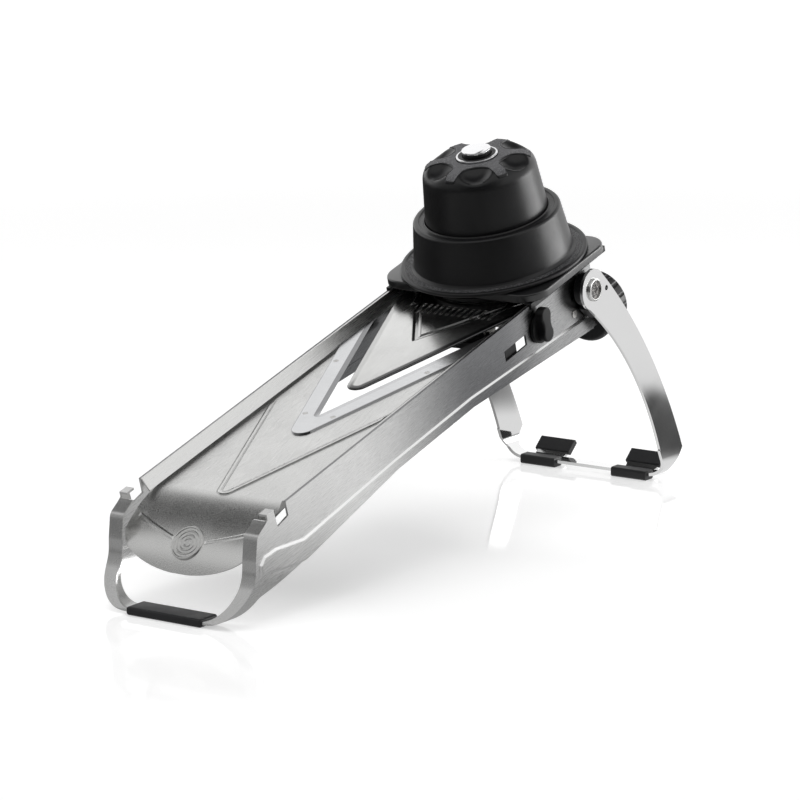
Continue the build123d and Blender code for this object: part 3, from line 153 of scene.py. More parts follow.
class SlicerFinish(bpy.types.PropertyGroup):
    steel: FloatVectorProperty(name="Satin steel", description="Colour of the satin sheet",
                               subtype="COLOR", default=(0.66, 0.66, 0.655))
    deck: FloatVectorProperty(name="Deck steel", description="Colour of the deck sheet",
                              subtype="COLOR", default=(0.73, 0.73, 0.72))
    polished: FloatVectorProperty(name="Polished steel", description="Colour of the leg band",
                                  subtype="COLOR", default=(0.80, 0.80, 0.80))
    moulding: FloatVectorProperty(name="Moulding", description="Colour of the black mouldings",
                                  subtype="COLOR", default=(0.005, 0.005, 0.0055))
    insert: FloatVectorProperty(name="Grip insert", description="Colour of the grained insert",
                                subtype="COLOR", default=(0.13, 0.13, 0.135))
    rubber: FloatVectorProperty(name="Rubber", description="Colour of the feet",
                                subtype="COLOR", default=(0.012, 0.012, 0.013))
    floor: FloatVectorProperty(name="Floor", description="Colour of floor and backdrop",
                               subtype="COLOR", default=(0.86, 0.86, 0.86))


def sizes():
    return bpy.context.scene.slicer_sizes


def finish():
    return bpy.context.scene.slicer_finish


# ---- shader wiring ----
def maths(operation, swap=False):
    """A method that adds one Math node; swap is for the reflected forms."""
    def method(self, *others):
        values = (*others, self) if swap else (self, *others)
        return Sheet.add(self.tree, "ShaderNodeMath", {"operation": operation}, dict(enumerate(values)))
    return method


class Wire:
    """A socket whose arithmetic adds Math nodes."""
    __add__ = __radd__ = maths("ADD")
    __sub__ = maths("SUBTRACT")
    __rsub__ = maths("SUBTRACT", swap=True)
    __mul__ = __rmul__ = maths("MULTIPLY")
    __truediv__ = maths("DIVIDE")
    __rtruediv__ = maths("DIVIDE", swap=True)
    __abs__ = maths("ABSOLUTE")
    lower = maths("MINIMUM")
    higher = maths("MAXIMUM")
    root = maths("SQRT")

    def __init__(self, tree, socket):
        self.tree = tree
        self.socket = socket

    def step(self, start, end, low=0.0, high=1.0):
        """Smooth change from low to high while this value goes from start to end."""
        return Sheet.add(self.tree, "ShaderNodeMapRange", {"interpolation_type": "SMOOTHSTEP", "clamp": True},
                         {"Value": self, "From Min": start, "From Max": end, "To Min": low, "To Max": high})


def spread(along, across):
    """Distance from the origin of two coordinates."""
    return (along * along + across * across).root()


def parts_of(tree, vector):
    """The three numbers in a vector."""
    outputs = Sheet.add(tree, "ShaderNodeSeparateXYZ", None, {"Vector": vector}).socket.node.outputs
    return [Wire(tree, output) for output in outputs]


def ray(tree, kind):
    """1 for rays of this kind, 0 for others."""
    return Sheet.add(tree, "ShaderNodeLightPath", output=f"Is {kind} Ray")


def facing(east, north):
    """Level coordinates that run away from the camera and to its right."""
    return east * 0.82 + north * 0.57, east * 0.57 - north * 0.82


class Sheet:
    """One material's node tree, with a Principled shader ready to take its inputs."""

    def __init__(self, name, base, metallic=0.0, roughness=0.5, **settings):
        self.material = bpy.data.materials.new(name)
        self.material.use_nodes = True
        self.tree = self.material.node_tree
        self.shader = self.tree.nodes["Principled BSDF"]
        self.put("Base Color", (*base, 1.0))
        self.put("Metallic", metallic)
        self.put("Roughness", roughness)
        for socket, value in settings.items():
            self.put(socket.replace("_", " "), value)
        self.material.diffuse_color = (*base, 1.0)
        self.material.metallic = metallic

    @staticmethod
    def add(tree, kind, settings=None, inputs=None, output=0):
        node = tree.nodes.new(kind)
        for key, value in (settings or {}).items():
            setattr(node, key, value)
        for key, value in (inputs or {}).items():
            socket = node.inputs[key]
            if isinstance(value, Wire):
                tree.links.new(value.socket, socket)
            else:
                socket.default_value = value
        return Wire(tree, node.outputs[output])

    def node(self, kind, settings=None, inputs=None, output=0):
        return self.add(self.tree, kind, settings, inputs, output)

    def put(self, socket, value):
        target = self.shader.inputs[socket]
        if isinstance(value, Wire):
            self.tree.links.new(value.socket, target)
        else:
            target.default_value = value

    def fed(self, socket):
        """What feeds a socket of the shader now."""
        return Wire(self.tree, self.shader.inputs[socket].links[0].from_socket)

    def place(self):
        """Object coordinates in metres."""
        return self.node("ShaderNodeTexCoord", output="Object")

    def deck_place(self):
        """Object coordinates turned into deck millimetres."""
        return self.node("ShaderNodeMapping", {"vector_type": "TEXTURE"}, {
            "Vector": self.place(), "Location": DECK_ORIGIN, "Rotation": (0.0, -SLOPE, 0.0),
            "Scale": (MM, MM, MM)})

    def deck_parts(self):
        """The deck's along, across and height, each as a wire."""
        return parts_of(self.tree, self.deck_place())

    def level_parts(self):
        """The same three in metres and level with the floor."""
        return parts_of(self.tree, self.place())

    def noise(self, vector, scale, detail=2.0, rough=0.5, stretch=None):
        if stretch:
            vector = self.node("ShaderNodeMapping", None, {"Vector": vector, "Scale": stretch})
        return self.node("ShaderNodeTexNoise", None,
                         {"Vector": vector, "Scale": scale, "Detail": detail, "Roughness": rough})

    def blend(self, factor, first, second):
        """Mix of two colours, each a wire or three numbers."""
        first, second = (value if isinstance(value, Wire) else (*value, 1.0) for value in (first, second))
        return self.node("ShaderNodeMix", {"data_type": "RGBA"}, {0: factor, 6: first, 7: second}, 2)

    def tint(self, mask, colour):
        """Lays a colour over the base colour where the mask is 1."""
        self.put("Base Color", self.blend(mask, self.fed("Base Color"), colour))

    def emboss(self, height, strength, distance):
        """Adds a bump to whatever feeds the normal."""
        inputs = {"Height": height, "Strength": strength, "Distance": distance}
        if self.shader.inputs["Normal"].is_linked:
            inputs["Normal"] = self.fed("Normal")
        self.put("Normal", self.node("ShaderNodeBump", None, inputs))


MADE = {}


def made(maker):
    """Each finish is made once, under its own name."""
    name = maker.__name__

    def once():
        if name not in MADE:
            MADE[name] = maker(name).material
        return MADE[name]
    return once


def brushed(name, base, roughness, stretch=(1.0, 60.0, 60.0), depth=0.08, vary=0.10, tint=0.05):
    """Metal sheet with fine drawn lines along one direction of the deck frame."""
    sheet = Sheet(name, base, metallic=1.0, roughness=roughness)
    place = sheet.deck_place()
    lines = sheet.noise(place, 0.12, 5.0, 0.65, stretch)
    cloud = sheet.noise(place, 0.035, 3.0, 0.55)
    streak = lines.step(0.3, 0.7, roughness - vary, roughness + vary)
    sheet.put("Roughness", streak + (cloud - 0.5) * 0.12)
    dark = tuple(c * (1.0 - 2 * tint) for c in base)
    light = tuple(min(1.0, c * (1.0 + tint)) for c in base)
    sheet.put("Base Color", sheet.blend(lines * 0.6 + cloud * 0.4, dark, light))
    sheet.emboss(lines, depth, 0.00006)
    return sheet


@made
def wall_steel(name):
    """Satin frame sheet: painted shade towards the rear and on the rail tops, a painted highlight on the ridge."""
    sheet = brushed(name, finish().steel, 0.30, depth=0.10)
    along, across, height = sheet.deck_parts()
    # Painted shade: the base colour darkens towards the rear of the walls, where the carriage shades them.
    rear = along.step(120.0, 245.0) * along.step(265.0, 325.0, 1.0, 0.65)
    sheet.tint(rear * 0.92, (0.085, 0.087, 0.092))
    out = abs(across)
    # Painted highlight: a bright line in the base colour along the pressed ridge of each wall.
    ridge = out.step(WALL_FACE + 0.05, WALL_FACE + 0.3)
    sheet.tint(ridge * out.step(RIDGE_FACE - 0.3, RIDGE_FACE - 0.05, 1.0, 0.0), (0.95, 0.95, 0.945))
    # Painted shade: a dark band in the base colour along the rail tops, from the wall front back.
    edge = height.step(RAIL_TOP - 0.5, RAIL_TOP - 0.1) * along.step(WALL_FRONT, WALL_FRONT + 2.0)
    sheet.tint(edge * 0.7, (0.12, 0.12, 0.125))
    return sheet


def vee_distance(along, across, tip, slope, radius):
    """Signed distance in millimetres from a V line whose tip is rounded, positive behind the V."""
    run = math.hypot(1.0, slope)
    back = along - (tip + radius * run / slope)
    aside = abs(across)
    arm = (back + aside * slope) / run
    inside = (back * slope - aside) / run
    ahead, beyond = arm.lower(0.0), inside.lower(0.0)
    return inside.higher(0.0) - spread(ahead, beyond) + radius


def line_at(reach, place, width):
    """1 on a line at this distance, falling to 0 at its sides."""
    return 1.0 - abs(reach - place).step(width * 0.3, width)


@made
def deck_steel(name):
    """Fine satin deck, soft pressed lines round the V panel and on the tongue, painted shade in the panel's
    crease.
    """
    sheet = brushed(name, finish().deck, 0.27, (1.0, 45.0, 45.0), depth=0.07, vary=0.06, tint=0.03)
    along, across, height = sheet.deck_parts()
    reach = vee_distance(along, across, *PANEL_VEE)
    aside = abs(across)
    near = 1.0 - aside.step(PANEL_SIDE, PANEL_SIDE + 2.0)
    within = (1.0 - along.step(PANEL_REAR, PANEL_REAR + 6.0)) * near
    lip = line_at(reach, 1.0, 1.9) * within
    painted_crease_shade = line_at(reach, -0.4, 0.75) * within
    fall = aside * TONGUE_FALL - TONGUE_DROP - height
    rib = line_at(fall, 0.0, 0.8) * aside.step(MEDAL_RADIUS, MEDAL_RADIUS + 1.5) * near
    # Painted shade: a dark line in the base colour along the crease of the V panel.
    sheet.tint(painted_crease_shade * 0.4, (0.12, 0.12, 0.12))
    sheet.emboss(lip + rib * 0.3, 0.9, 0.0009)
    return sheet


@made
def ramp_steel(name):
    """Ramp sheet: creased V groove, with painted shade in its creases, on the rolled edge and on the sides below
    the face.
    """
    sheet = brushed(name, finish().deck, 0.22, (1.0, 45.0, 45.0), depth=0.06, vary=0.05, tint=0.03)
    along, across, height = sheet.deck_parts()
    reach = vee_distance(along, across, *GROOVE_VEE)
    # Painted shade: dark lines along the two creases of the V groove.
    painted_crease_shade = line_at(reach, 0.1, 0.7).higher(line_at(reach, 4.5, 0.7)) * height.step(1.0, 1.5)
    # Painted shade on the sides below the ramp's face.
    low = 1.0 - height.step(0.9, 1.9)
    inset = vee_distance(along, across, *RAMP_VEE)
    # Painted shade on the rolled edge, stronger on one side of the deck than the other.
    rolled = inset.step(2.4, 4.2, 0.92, 0.0) * across.step(1.0, 7.0, 1.0, 0.25)
    dark = (painted_crease_shade * 0.6).higher(low * 0.9).higher(rolled)
    sheet.tint(dark, (0.05, 0.05, 0.052))
    sheet.emboss(line_at(reach, 2.3, 2.4) * -1.0, 0.8, 0.0006)
    return sheet


@made
def blade_steel(name):
    """Bright blade plate with a painted dark outline and a painted dark reflection on its ground bevel."""
    sheet = brushed(name, (0.62, 0.625, 0.635), 0.17, (30.0, 1.0, 30.0), depth=0.06, vary=0.05, tint=0.02)
    along, across, _ = sheet.deck_parts()
    # Painted shade: a dark outline in the base colour along the plate's edge.
    rim = vee_distance(along, across, *PLATE_VEE).step(0.1, 0.55, 0.8, 0.0)
    # Painted reflection: the ground bevel darkened in the base colour, more on one arm than the other.
    ground = vee_distance(along, across, *EDGE_VEE).step(-3.4, -2.8)
    dark = (rim * 0.7).higher(ground * across.step(-2.0, 4.0, 0.15, 0.75))
    sheet.tint(dark, (0.10, 0.10, 0.105))
    return sheet


@made
def plain_steel(name):
    return brushed(name, (0.55, 0.55, 0.55), 0.34, depth=0.12, tint=0.06)


@made
def leg_steel(name):
    """Polished band with faint draw lines."""
    sheet = Sheet(name, finish().polished, metallic=1.0, roughness=0.09)
    place = sheet.place()
    lines = sheet.noise(place, 60.0, 3.0, 0.5, stretch=(12.0, 1.0, 1.0))
    smear = sheet.noise(place, 25.0, 4.0)
    sheet.put("Roughness", smear.step(0.35, 0.75, 0.05, 0.15) + lines * 0.03)
    sheet.emboss(lines, 0.03, 0.0001)
    return sheet


def clouded(name, base, rough, grain, detail, low, high, bump=0.0, depth=0.0):
    """Plain metal whose sheen varies in small clouds, with a fine bump where one is asked for."""
    sheet = Sheet(name, base, metallic=1.0, roughness=rough)
    cloud = sheet.noise(sheet.place(), grain, detail)
    sheet.put("Roughness", cloud.step(0.3, 0.7, low, high))
    if bump:
        sheet.emboss(cloud, bump, depth)
    return sheet


@made
def medal_steel(name):
    return clouded(name, (0.62, 0.62, 0.61), 0.33, grain=900.0, detail=3.0, low=0.26, high=0.42,
                   bump=0.12, depth=0.00008)


@made
def turned_steel(name):
    """Screw heads and pins."""
    return clouded(name, (0.58, 0.575, 0.56), 0.25, grain=1400.0, detail=4.0, low=0.18, high=0.36,
                   bump=0.10, depth=0.00005)


@made
def spring_steel(name):
    return clouded(name, (0.42, 0.42, 0.43), 0.28, grain=700.0, detail=3.0, low=0.2, high=0.38)


@made
def nut_brass(name):
    return clouded(name, (0.68, 0.5, 0.22), 0.3, grain=500.0, detail=3.0, low=0.22, high=0.42)


@made
def bright_chrome(name):
    sheet = Sheet(name, (0.82, 0.82, 0.83), metallic=1.0, roughness=0.08)
    smear = sheet.noise(sheet.place(), 180.0, 4.0)
    sheet.put("Roughness", smear.step(0.35, 0.7, 0.05, 0.17))
    sheet.emboss(smear, 0.04, 0.0001)
    return sheet


def moulded(name, base, roughness, grain=2600.0, depth=0.15, coat=0.0):
    """Black moulding: fine spark grain and soft wear in the sheen."""
    sheet = Sheet(name, base, roughness=roughness, Coat_Weight=coat, Coat_Roughness=0.35)
    place = sheet.place()
    spark = sheet.noise(place, grain, 3.0, 0.6)
    cloud = sheet.noise(place, 22.0, 4.0, 0.6)
    sheet.put("Specular IOR Level", 0.38)
    sheet.put("Roughness", cloud.step(0.3, 0.75, roughness - 0.06, roughness + 0.08))
    lighter = tuple(c * 1.5 + 0.002 for c in base)
    sheet.put("Base Color", sheet.blend(cloud, base, lighter))
    sheet.emboss(spark, depth, 0.00008)
    return sheet


@made
def satin_moulding(name):
    return moulded(name, finish().moulding, 0.36, grain=3000.0, depth=0.10, coat=0.12)


@made
def housing_moulding(name):
    """Satin shell with a grained flat round the brim."""
    sheet = moulded(name, finish().moulding, 0.36, grain=3000.0, depth=0.10, coat=0.12)
    along, across, height = sheet.deck_parts()
    radius = spread(along - PUSHER_U, across)
    brim = radius.step(BRIM_INNER, BRIM_INNER + 0.4) * radius.step(BRIM_OUTER - 0.4, BRIM_OUTER, 1.0, 0.0)
    flat = brim * height.step(15.0, 15.4, 1.0, 0.0)
    speck = sheet.noise(sheet.place(), 1700.0, 2.0).step(0.42, 0.62)
    sheet.put("Roughness", sheet.fed("Roughness") * (1.0 - flat) + flat * 0.55)
    sheet.tint(flat * speck, (0.16, 0.16, 0.165))
    sheet.emboss(speck * flat, 0.5, 0.0002)
    return sheet


@made
def trim_chrome(name):
    """Dark seat with a bright outer rim."""
    bright = (0.75, 0.75, 0.76)
    sheet = Sheet(name, bright, metallic=1.0, roughness=0.16)
    along, across, _ = sheet.deck_parts()
    seat = spread(along - PUSHER_U, across).step(TRIM_BRIGHT, TRIM_BRIGHT + 0.4, 1.0, 0.0)
    smear = sheet.noise(sheet.place(), 180.0, 4.0)
    sheet.put("Roughness", smear.step(0.35, 0.7, 0.12, 0.24) + seat * 0.3)
    sheet.put("Base Color", sheet.blend(seat, bright, (0.012, 0.012, 0.013)))
    sheet.put("Metallic", 1.0 - seat)
    return sheet


@made
def pivot_steel(name):
    """Leg screw: bright rim round a dark cup."""
    bright = (0.6, 0.6, 0.59)
    sheet = Sheet(name, bright, metallic=1.0, roughness=0.22)
    along, _, height = sheet.level_parts()
    pivot = JOINT["leg_fold"]["pos_m"]
    cup = spread(along - pivot[0], height - pivot[2]).step(CUP_RADIUS, CUP_RADIUS + 0.0004, 1.0, 0.0)
    wear = sheet.noise(sheet.place(), 900.0, 3.0)
    sheet.put("Roughness", wear.step(0.3, 0.7, 0.16, 0.34))
    tint = sheet.blend(wear.step(0.4, 0.6), (0.10, 0.10, 0.10), (0.26, 0.25, 0.24))
    sheet.put("Base Color", sheet.blend(cup, bright, tint))
    sheet.emboss(wear, 0.2, 0.0001)
    return sheet


@made
def matt_moulding(name):
    sheet = moulded(name, (0.003, 0.003, 0.0033), 0.5)
    sheet.put("Specular IOR Level", 0.22)
    return sheet


@made
def gloss_moulding(name):
    return moulded(name, finish().moulding, 0.24, grain=3000.0, depth=0.05, coat=0.8)


@made
def grained_moulding(name):
    return moulded(name, tuple(c * 1.6 for c in finish().moulding), 0.5, grain=1500.0, depth=0.55)


@made
def grip_rubber(name):
    """Grained soft insert with a sandy sparkle."""
    base = finish().insert
    sheet = Sheet(name, base, roughness=0.72)
    place = sheet.place()
    grain = sheet.node("ShaderNodeTexVoronoi", {"feature": "F1"}, {"Vector": place, "Scale": 1500.0})
    speck = sheet.noise(place, 2400.0, 2.0)
    light = tuple(c * 2.6 for c in base)
    sheet.put("Base Color", sheet.blend(speck.step(0.5, 0.75), tuple(c * 0.7 for c in base), light))
    sheet.emboss(grain + speck * 0.6, 0.7, 0.00018)
    return sheet


@made
def foot_rubber(name):
    return moulded(name, finish().rubber, 0.48, grain=900.0, depth=0.25)


# ---- mesh helpers ----
def new_object(name, mesh, material):
    piece = bpy.data.objects.new(name, mesh)
    bpy.context.scene.collection.objects.link(piece)
    mesh.materials.clear()
    mesh.materials.append(material)
    return piece


def smooth_by_angle(mesh, angle):
    mesh.polygons.foreach_set("use_smooth", [True] * len(mesh.polygons))
    mesh.set_sharp_from_angle(angle=math.radians(angle))
    mesh.update()


def baked(piece):
    """Turns the evaluated piece into a plain mesh and drops its modifiers."""
    graph = bpy.context.evaluated_depsgraph_get()
    mesh = bpy.data.meshes.new_from_object(piece.evaluated_get(graph))
    old = piece.data
    piece.modifiers.clear()
    piece.data = mesh
    bpy.data.meshes.remove(old)
    return piece


def outward(mesh):
    """Merges points that touch and turns all faces outwards."""
    bm = bmesh.new()
    bm.from_mesh(mesh)
    bmesh.ops.remove_doubles(bm, verts=bm.verts, dist=1e-6)
    bmesh.ops.recalc_face_normals(bm, faces=bm.faces)
    bm.to_mesh(mesh)
    bm.free()


def around(count):
    """Equal angles round a full turn."""
    return np.arange(count) * 2 * math.pi / count


def ring(turn, radius, height):
    """Level ring of points about the third axis."""
    return np.stack([radius * np.cos(turn), radius * np.sin(turn), np.full(len(turn), height)], axis=1)


def ring_piece(name, rings, matrix, material, angle, closed=True):
    """Skin over rings of points in millimetres, placed by a matrix; closed joins the last to the first."""
    points = np.stack(rings)
    rows, columns = points.shape[:2]
    faces = []
    for i in range(rows if closed else rows - 1):
        here, ahead = i * columns, (i + 1) % rows * columns
        for j in range(columns):
            beside = (j + 1) % columns
            faces.append((here + j, ahead + j, ahead + beside, here + beside))
    mesh = bpy.data.meshes.new(name)
    mesh.from_pydata([matrix @ Vector(p) for p in points.reshape(-1, 3)], [], faces)
    outward(mesh)
    smooth_by_angle(mesh, angle)
    return new_object(name, mesh, material)


def rounded_line(corners, steps):
    """Line through (radius, height, rounding) corners, with arcs in place of its inner corners."""
    points = [np.array(corner[:2], float) for corner in corners]
    line = [points[0]]
    for before, corner, after, (_, _, radius) in zip(points, points[1:], points[2:], corners[1:]):
        back, ahead = before - corner, after - corner
        back_length, ahead_length = np.linalg.norm(back), np.linalg.norm(ahead)
        back, ahead = back / back_length, ahead / ahead_length
        half = math.acos(np.clip(back @ ahead, -1, 1)) / 2
        if radius <= 0 or half > math.pi / 2 - 0.02:
            line.append(corner)
            continue
        trim = min(radius / math.tan(half), back_length * 0.49, ahead_length * 0.49)
        radius = trim * math.tan(half)
        middle = corner + (back + ahead) / np.linalg.norm(back + ahead) * radius / math.sin(half)
        start, end = corner + back * trim - middle, corner + ahead * trim - middle
        turn = math.acos(np.clip(start @ end / radius ** 2, -1, 1))
        for i in range(steps + 1):
            t = i / steps
            arm = (start * math.sin((1 - t) * turn) + end * math.sin(t * turn)) / math.sin(turn)
            line.append(middle + arm)
    line.append(points[-1])
    return line


def lathe(name, profile, matrix, material, segments, angle, closed=False):
    """Solid of revolution about the local third axis from (radius, height) points."""
    turn = around(segments)
    rings = [ring(turn, radius, height) for radius, height in profile]
    return ring_piece(name, rings, matrix, material, angle, closed)


def cad_copy(node, name, material, bevel, segments=2, angle=28.0, flat=0.5):
    """Merged copy of a CAD node with clean flats, smooth curves and softened edges."""
    mesh = frame["nodes"][node].data.copy()
    mesh.name = name
    bm = bmesh.new()
    bm.from_mesh(mesh)
    bmesh.ops.remove_doubles(bm, verts=bm.verts, dist=2e-6)
    if flat:
        bmesh.ops.dissolve_limit(bm, angle_limit=math.radians(flat), verts=bm.verts, edges=bm.edges)
    bm.to_mesh(mesh)
    bm.free()
    for layer in list(mesh.attributes):
        if layer.name in {"sharp_face", "custom_normal"}:
            mesh.attributes.remove(layer)
    smooth_by_angle(mesh, angle)
    piece = new_object(name, mesh, material)
    if bevel:
        soften = piece.modifiers.new("soften", "BEVEL")
        soften.width = bevel
        soften.segments = segments
        soften.limit_method = "ANGLE"
        soften.angle_limit = math.radians(angle)
        soften.use_clamp_overlap = True
        soften.harden_normals = True
        baked(piece)
    return piece


def body_of(node):
    bodies = frame["record"]["behaviour"]["bodies"]
    return next(body for body, members in bodies.items() if node in members)


def slot_of(node):
    return next(entry["material_slot"] for entry in frame["record"]["subparts"] if entry["node"] == node)


def stands_for(piece, *nodes):
    """Rides on the nodes' body and hides them; their slot is looked up but not given to the piece."""
    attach(piece, body_of(nodes[0]))
    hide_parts(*nodes)
    slot_of(nodes[0])
    return piece


def dress(node, name, material, bevel=None, **settings):
    width = sizes().fold_bevel if bevel is None else bevel
    return stands_for(cad_copy(node, name, material, width, **settings), node)


def shorten(coil):
    """Gives the coil its own copy of its mesh."""
    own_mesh(coil)


# ---- repeated pieces ----
def socket_id(tree, name):
    return next(item.identifier for item in tree.interface.items_tree
                if item.name == name and item.in_out == "INPUT")


class Weave:
    """Geometry node tree with named number inputs."""

    def __init__(self, name, numbers):
        self.tree = bpy.data.node_groups.new(name, "GeometryNodeTree")
        self.tree.interface.new_socket("Geometry", in_out="INPUT", socket_type="NodeSocketGeometry")
        self.tree.interface.new_socket("Geometry", in_out="OUTPUT", socket_type="NodeSocketGeometry")
        for title, value in numbers.items():
            kind = "NodeSocketInt" if isinstance(value, int) else "NodeSocketFloat"
            self.tree.interface.new_socket(title, in_out="INPUT", socket_type=kind)
        self.start = self.tree.nodes.new("NodeGroupInput")
        self.end = self.tree.nodes.new("NodeGroupOutput")

    def number(self, title):
        return Wire(self.tree, self.start.outputs[title])

    def add(self, kind, settings=None, inputs=None, output=0):
        return Sheet.add(self.tree, kind, settings, inputs, output)

    def close(self, shape, material):
        real = self.add("GeometryNodeRealizeInstances", None, {"Geometry": shape})
        dressed = self.add("GeometryNodeSetMaterial", None, {"Geometry": real, "Material": material})
        self.tree.links.new(dressed.socket, self.end.inputs[0])


def grown(name, tree, numbers, places, matrix, material):
    """Object made by a node tree on a cloud of points, baked and placed by a matrix."""
    mesh = bpy.data.meshes.new(name)
    mesh.from_pydata([Vector(p) for p in places], [], [])
    piece = new_object(name, mesh, material)
    modifier = piece.modifiers.new("grow", "NODES")
    modifier.node_group = tree
    for title, value in numbers.items():
        modifier[socket_id(tree, title)] = value
    piece.update_tag()
    baked(piece)
    piece.data.transform(matrix)
    outward(piece.data)
    piece.data.materials.clear()
    piece.data.materials.append(material)
    smooth_by_angle(piece.data, 35.0)
    return piece


def stud_tree(name, material, numbers):
    """A stud on each point: pointed tip, shank and flat head along the third axis."""
    weave = Weave(name, numbers)
    radius, length = weave.number("Radius"), weave.number("Length")
    point, head = weave.number("Point length"), weave.number("Head radius")
    thick = weave.number("Head thickness")

    def rod(sides, wide, tall, middle):
        solid = weave.add("GeometryNodeMeshCylinder", {"fill_type": "NGON"},
                          {"Vertices": sides, "Radius": wide, "Depth": tall})
        lift = weave.add("ShaderNodeCombineXYZ", None, {"Z": middle})
        return weave.add("GeometryNodeTransform", None, {"Geometry": solid, "Translation": lift})

    tip = weave.add("GeometryNodeMeshCone", {"fill_type": "NGON"}, {
        "Vertices": 20, "Radius Top": radius, "Radius Bottom": radius * 0.12, "Depth": point})
    whole = weave.add("GeometryNodeJoinGeometry")
    for shape in (rod(20, radius, length, length * 0.5 + point), tip,
                  rod(24, head, thick, length + point - thick * 0.5)):
        weave.tree.links.new(shape.socket, whole.socket.node.inputs[0])
    spots = weave.add("GeometryNodeMeshToPoints", None, {"Mesh": Wire(weave.tree, weave.start.outputs[0])})
    studs = weave.add("GeometryNodeInstanceOnPoints", None, {"Points": spots, "Instance": whole})
    weave.close(studs, material)
    return weave.tree


def coil_tree(name, material):
    """Round wire wound about the third axis."""
    weave = Weave(name, {"Radius": 1.0, "Turns": 1.0, "Height": 1.0, "Wire": 0.1})
    spiral = weave.add("GeometryNodeCurveSpiral", None, {
        "Resolution": 48, "Rotations": weave.number("Turns"), "Start Radius": weave.number("Radius"),
        "End Radius": weave.number("Radius"), "Height": weave.number("Height")})
    ring = weave.add("GeometryNodeCurvePrimitiveCircle", {"mode": "RADIUS"},
                     {"Resolution": 12, "Radius": weave.number("Wire") * 0.5})
    wire = weave.add("GeometryNodeCurveToMesh", None,
                     {"Curve": spiral, "Profile Curve": ring, "Fill Caps": True})
    weave.close(wire, material)
    return weave.tree


def wound(name, tree, node, numbers, foot):
    """Coil spring that stands on its foot and rides on the body of its node."""
    matrix = PUSHER @ Matrix.Translation((0.0, 0.0, foot))
    coil = grown(name, tree, numbers, [(0.0, 0.0, 0.0)], matrix, spring_steel())
    stands_for(coil, node)
    shorten(coil)


# ---- pusher cap surface ----
def cap_field(points, props):
    """Signed distance in millimetres from the dimpled cap; points are N x 3 about the pusher axis."""
    radius = np.hypot(points[:, 0], points[:, 1])
    height = points[:, 2]
    lean = (CAP_FOOT_RADIUS - CAP_TOP_RADIUS) / (props.cap_top - CAP_FOOT)
    side = CAP_FOOT_RADIUS - lean * (np.maximum(height, CAP_FOOT) - CAP_FOOT)
    to_side = radius - side + props.cap_round
    to_top = height - props.cap_top + props.cap_round
    body = (np.minimum(np.maximum(to_side, to_top), 0.0)
            + np.hypot(np.maximum(to_side, 0.0), np.maximum(to_top, 0.0)) - props.cap_round)
    for i in range(props.dip_count):
        turn = 2 * math.pi / props.dip_count * (i + 0.5)
        out = points[:, 0] * math.cos(turn) + points[:, 1] * math.sin(turn) - props.dip_place
        aside = -points[:, 0] * math.sin(turn) + points[:, 1] * math.cos(turn)
        lift = height - props.cap_top - props.dip_rise
        ball = np.sqrt(out ** 2 + aside ** 2 + lift ** 2) - props.dip_radius
        near = np.maximum(DIP_BLEND - np.abs(body + ball), 0.0) / DIP_BLEND
        body = np.maximum(body, -ball) + near * near * DIP_BLEND * 0.25
    return body


def to_surface(origin, heading, props, offset=0.0):
    """Halves each ray from inside the cap until it ends on the surface, or an offset above it."""
    low = np.zeros(len(heading))
    high = np.full(len(heading), RAY_LENGTH)
    for _ in range(RAY_HALVINGS):
        middle = (low + high) / 2
        inside = cap_field(origin + heading * middle[:, None], props) < offset
        low = np.where(inside, middle, low)
        high = np.where(inside, high, middle)
    return origin + heading * low[:, None]


def lifted(turn, radius, props, offset=0.0):
    """Ring of points raised straight up to the cap's surface."""
    heading = np.tile((0.0, 0.0, 1.0), (len(turn), 1))
    return to_surface(ring(turn, radius, CAP_CORE), heading, props, offset)


def dimpled_cap(material, props):
    """Hollow plunger cap: marched outer skin, turned inner walls and button pocket."""
    turn = around(CAP_COLUMNS)
    rings = [lifted(turn, radius, props) for radius in np.linspace(POCKET_RADIUS, 20.0, 8)]
    centre = np.array([0.0, 0.0, CAP_CORE])
    last = rings[-1] - centre
    start = np.arctan2(last[:, 2], np.hypot(last[:, 0], last[:, 1]))
    for i in range(1, 40):
        lift = start + (math.radians(-20.0) - start) * i / 39
        heading = np.stack([np.cos(turn) * np.cos(lift), np.sin(turn) * np.cos(lift), np.sin(lift)], axis=1)
        rings.append(to_surface(centre, heading, props))
    rings += [ring(turn, radius, height) for radius, height in CAP_WALLS]
    return ring_piece("plunger_cap_skin", rings, PUSHER, material, 32.0)


def star_reach(turn, props):
    """Outer reach of the star outline at each angle, with round bites and broad arms."""
    near = np.abs((turn * props.dip_count / (2 * math.pi) - 0.5) % 1.0)
    near = np.minimum(near, 1.0 - near) * 2 * math.pi / props.dip_count
    middle = props.dip_place
    bite = math.sqrt(props.dip_radius ** 2 - props.dip_rise ** 2) + props.dip_land
    root = np.maximum(bite ** 2 - (middle * np.sin(near)) ** 2, 0.0)
    inner = middle * np.cos(near) - np.sqrt(root)
    outside = np.clip((near - math.asin(bite / middle) * 0.86) / math.radians(5.0), 0.0, 1.0)
    ease = outside * outside * (3 - 2 * outside)
    return np.minimum(inner, props.star_tip) * (1 - ease) + props.star_tip * ease


def star_piece(name, lines, material, props, angle):
    """Closed band on the cap's top, from (share of the star's reach, inset, height over the cap) lines."""
    turn = around(CAP_COLUMNS)
    edge = star_reach(turn, props)
    rings = [lifted(turn, STAR_START + (edge - inset - STAR_START) * share, props, offset)
             for share, inset, offset in lines]
    return ring_piece(name, rings, PUSHER, material, angle)


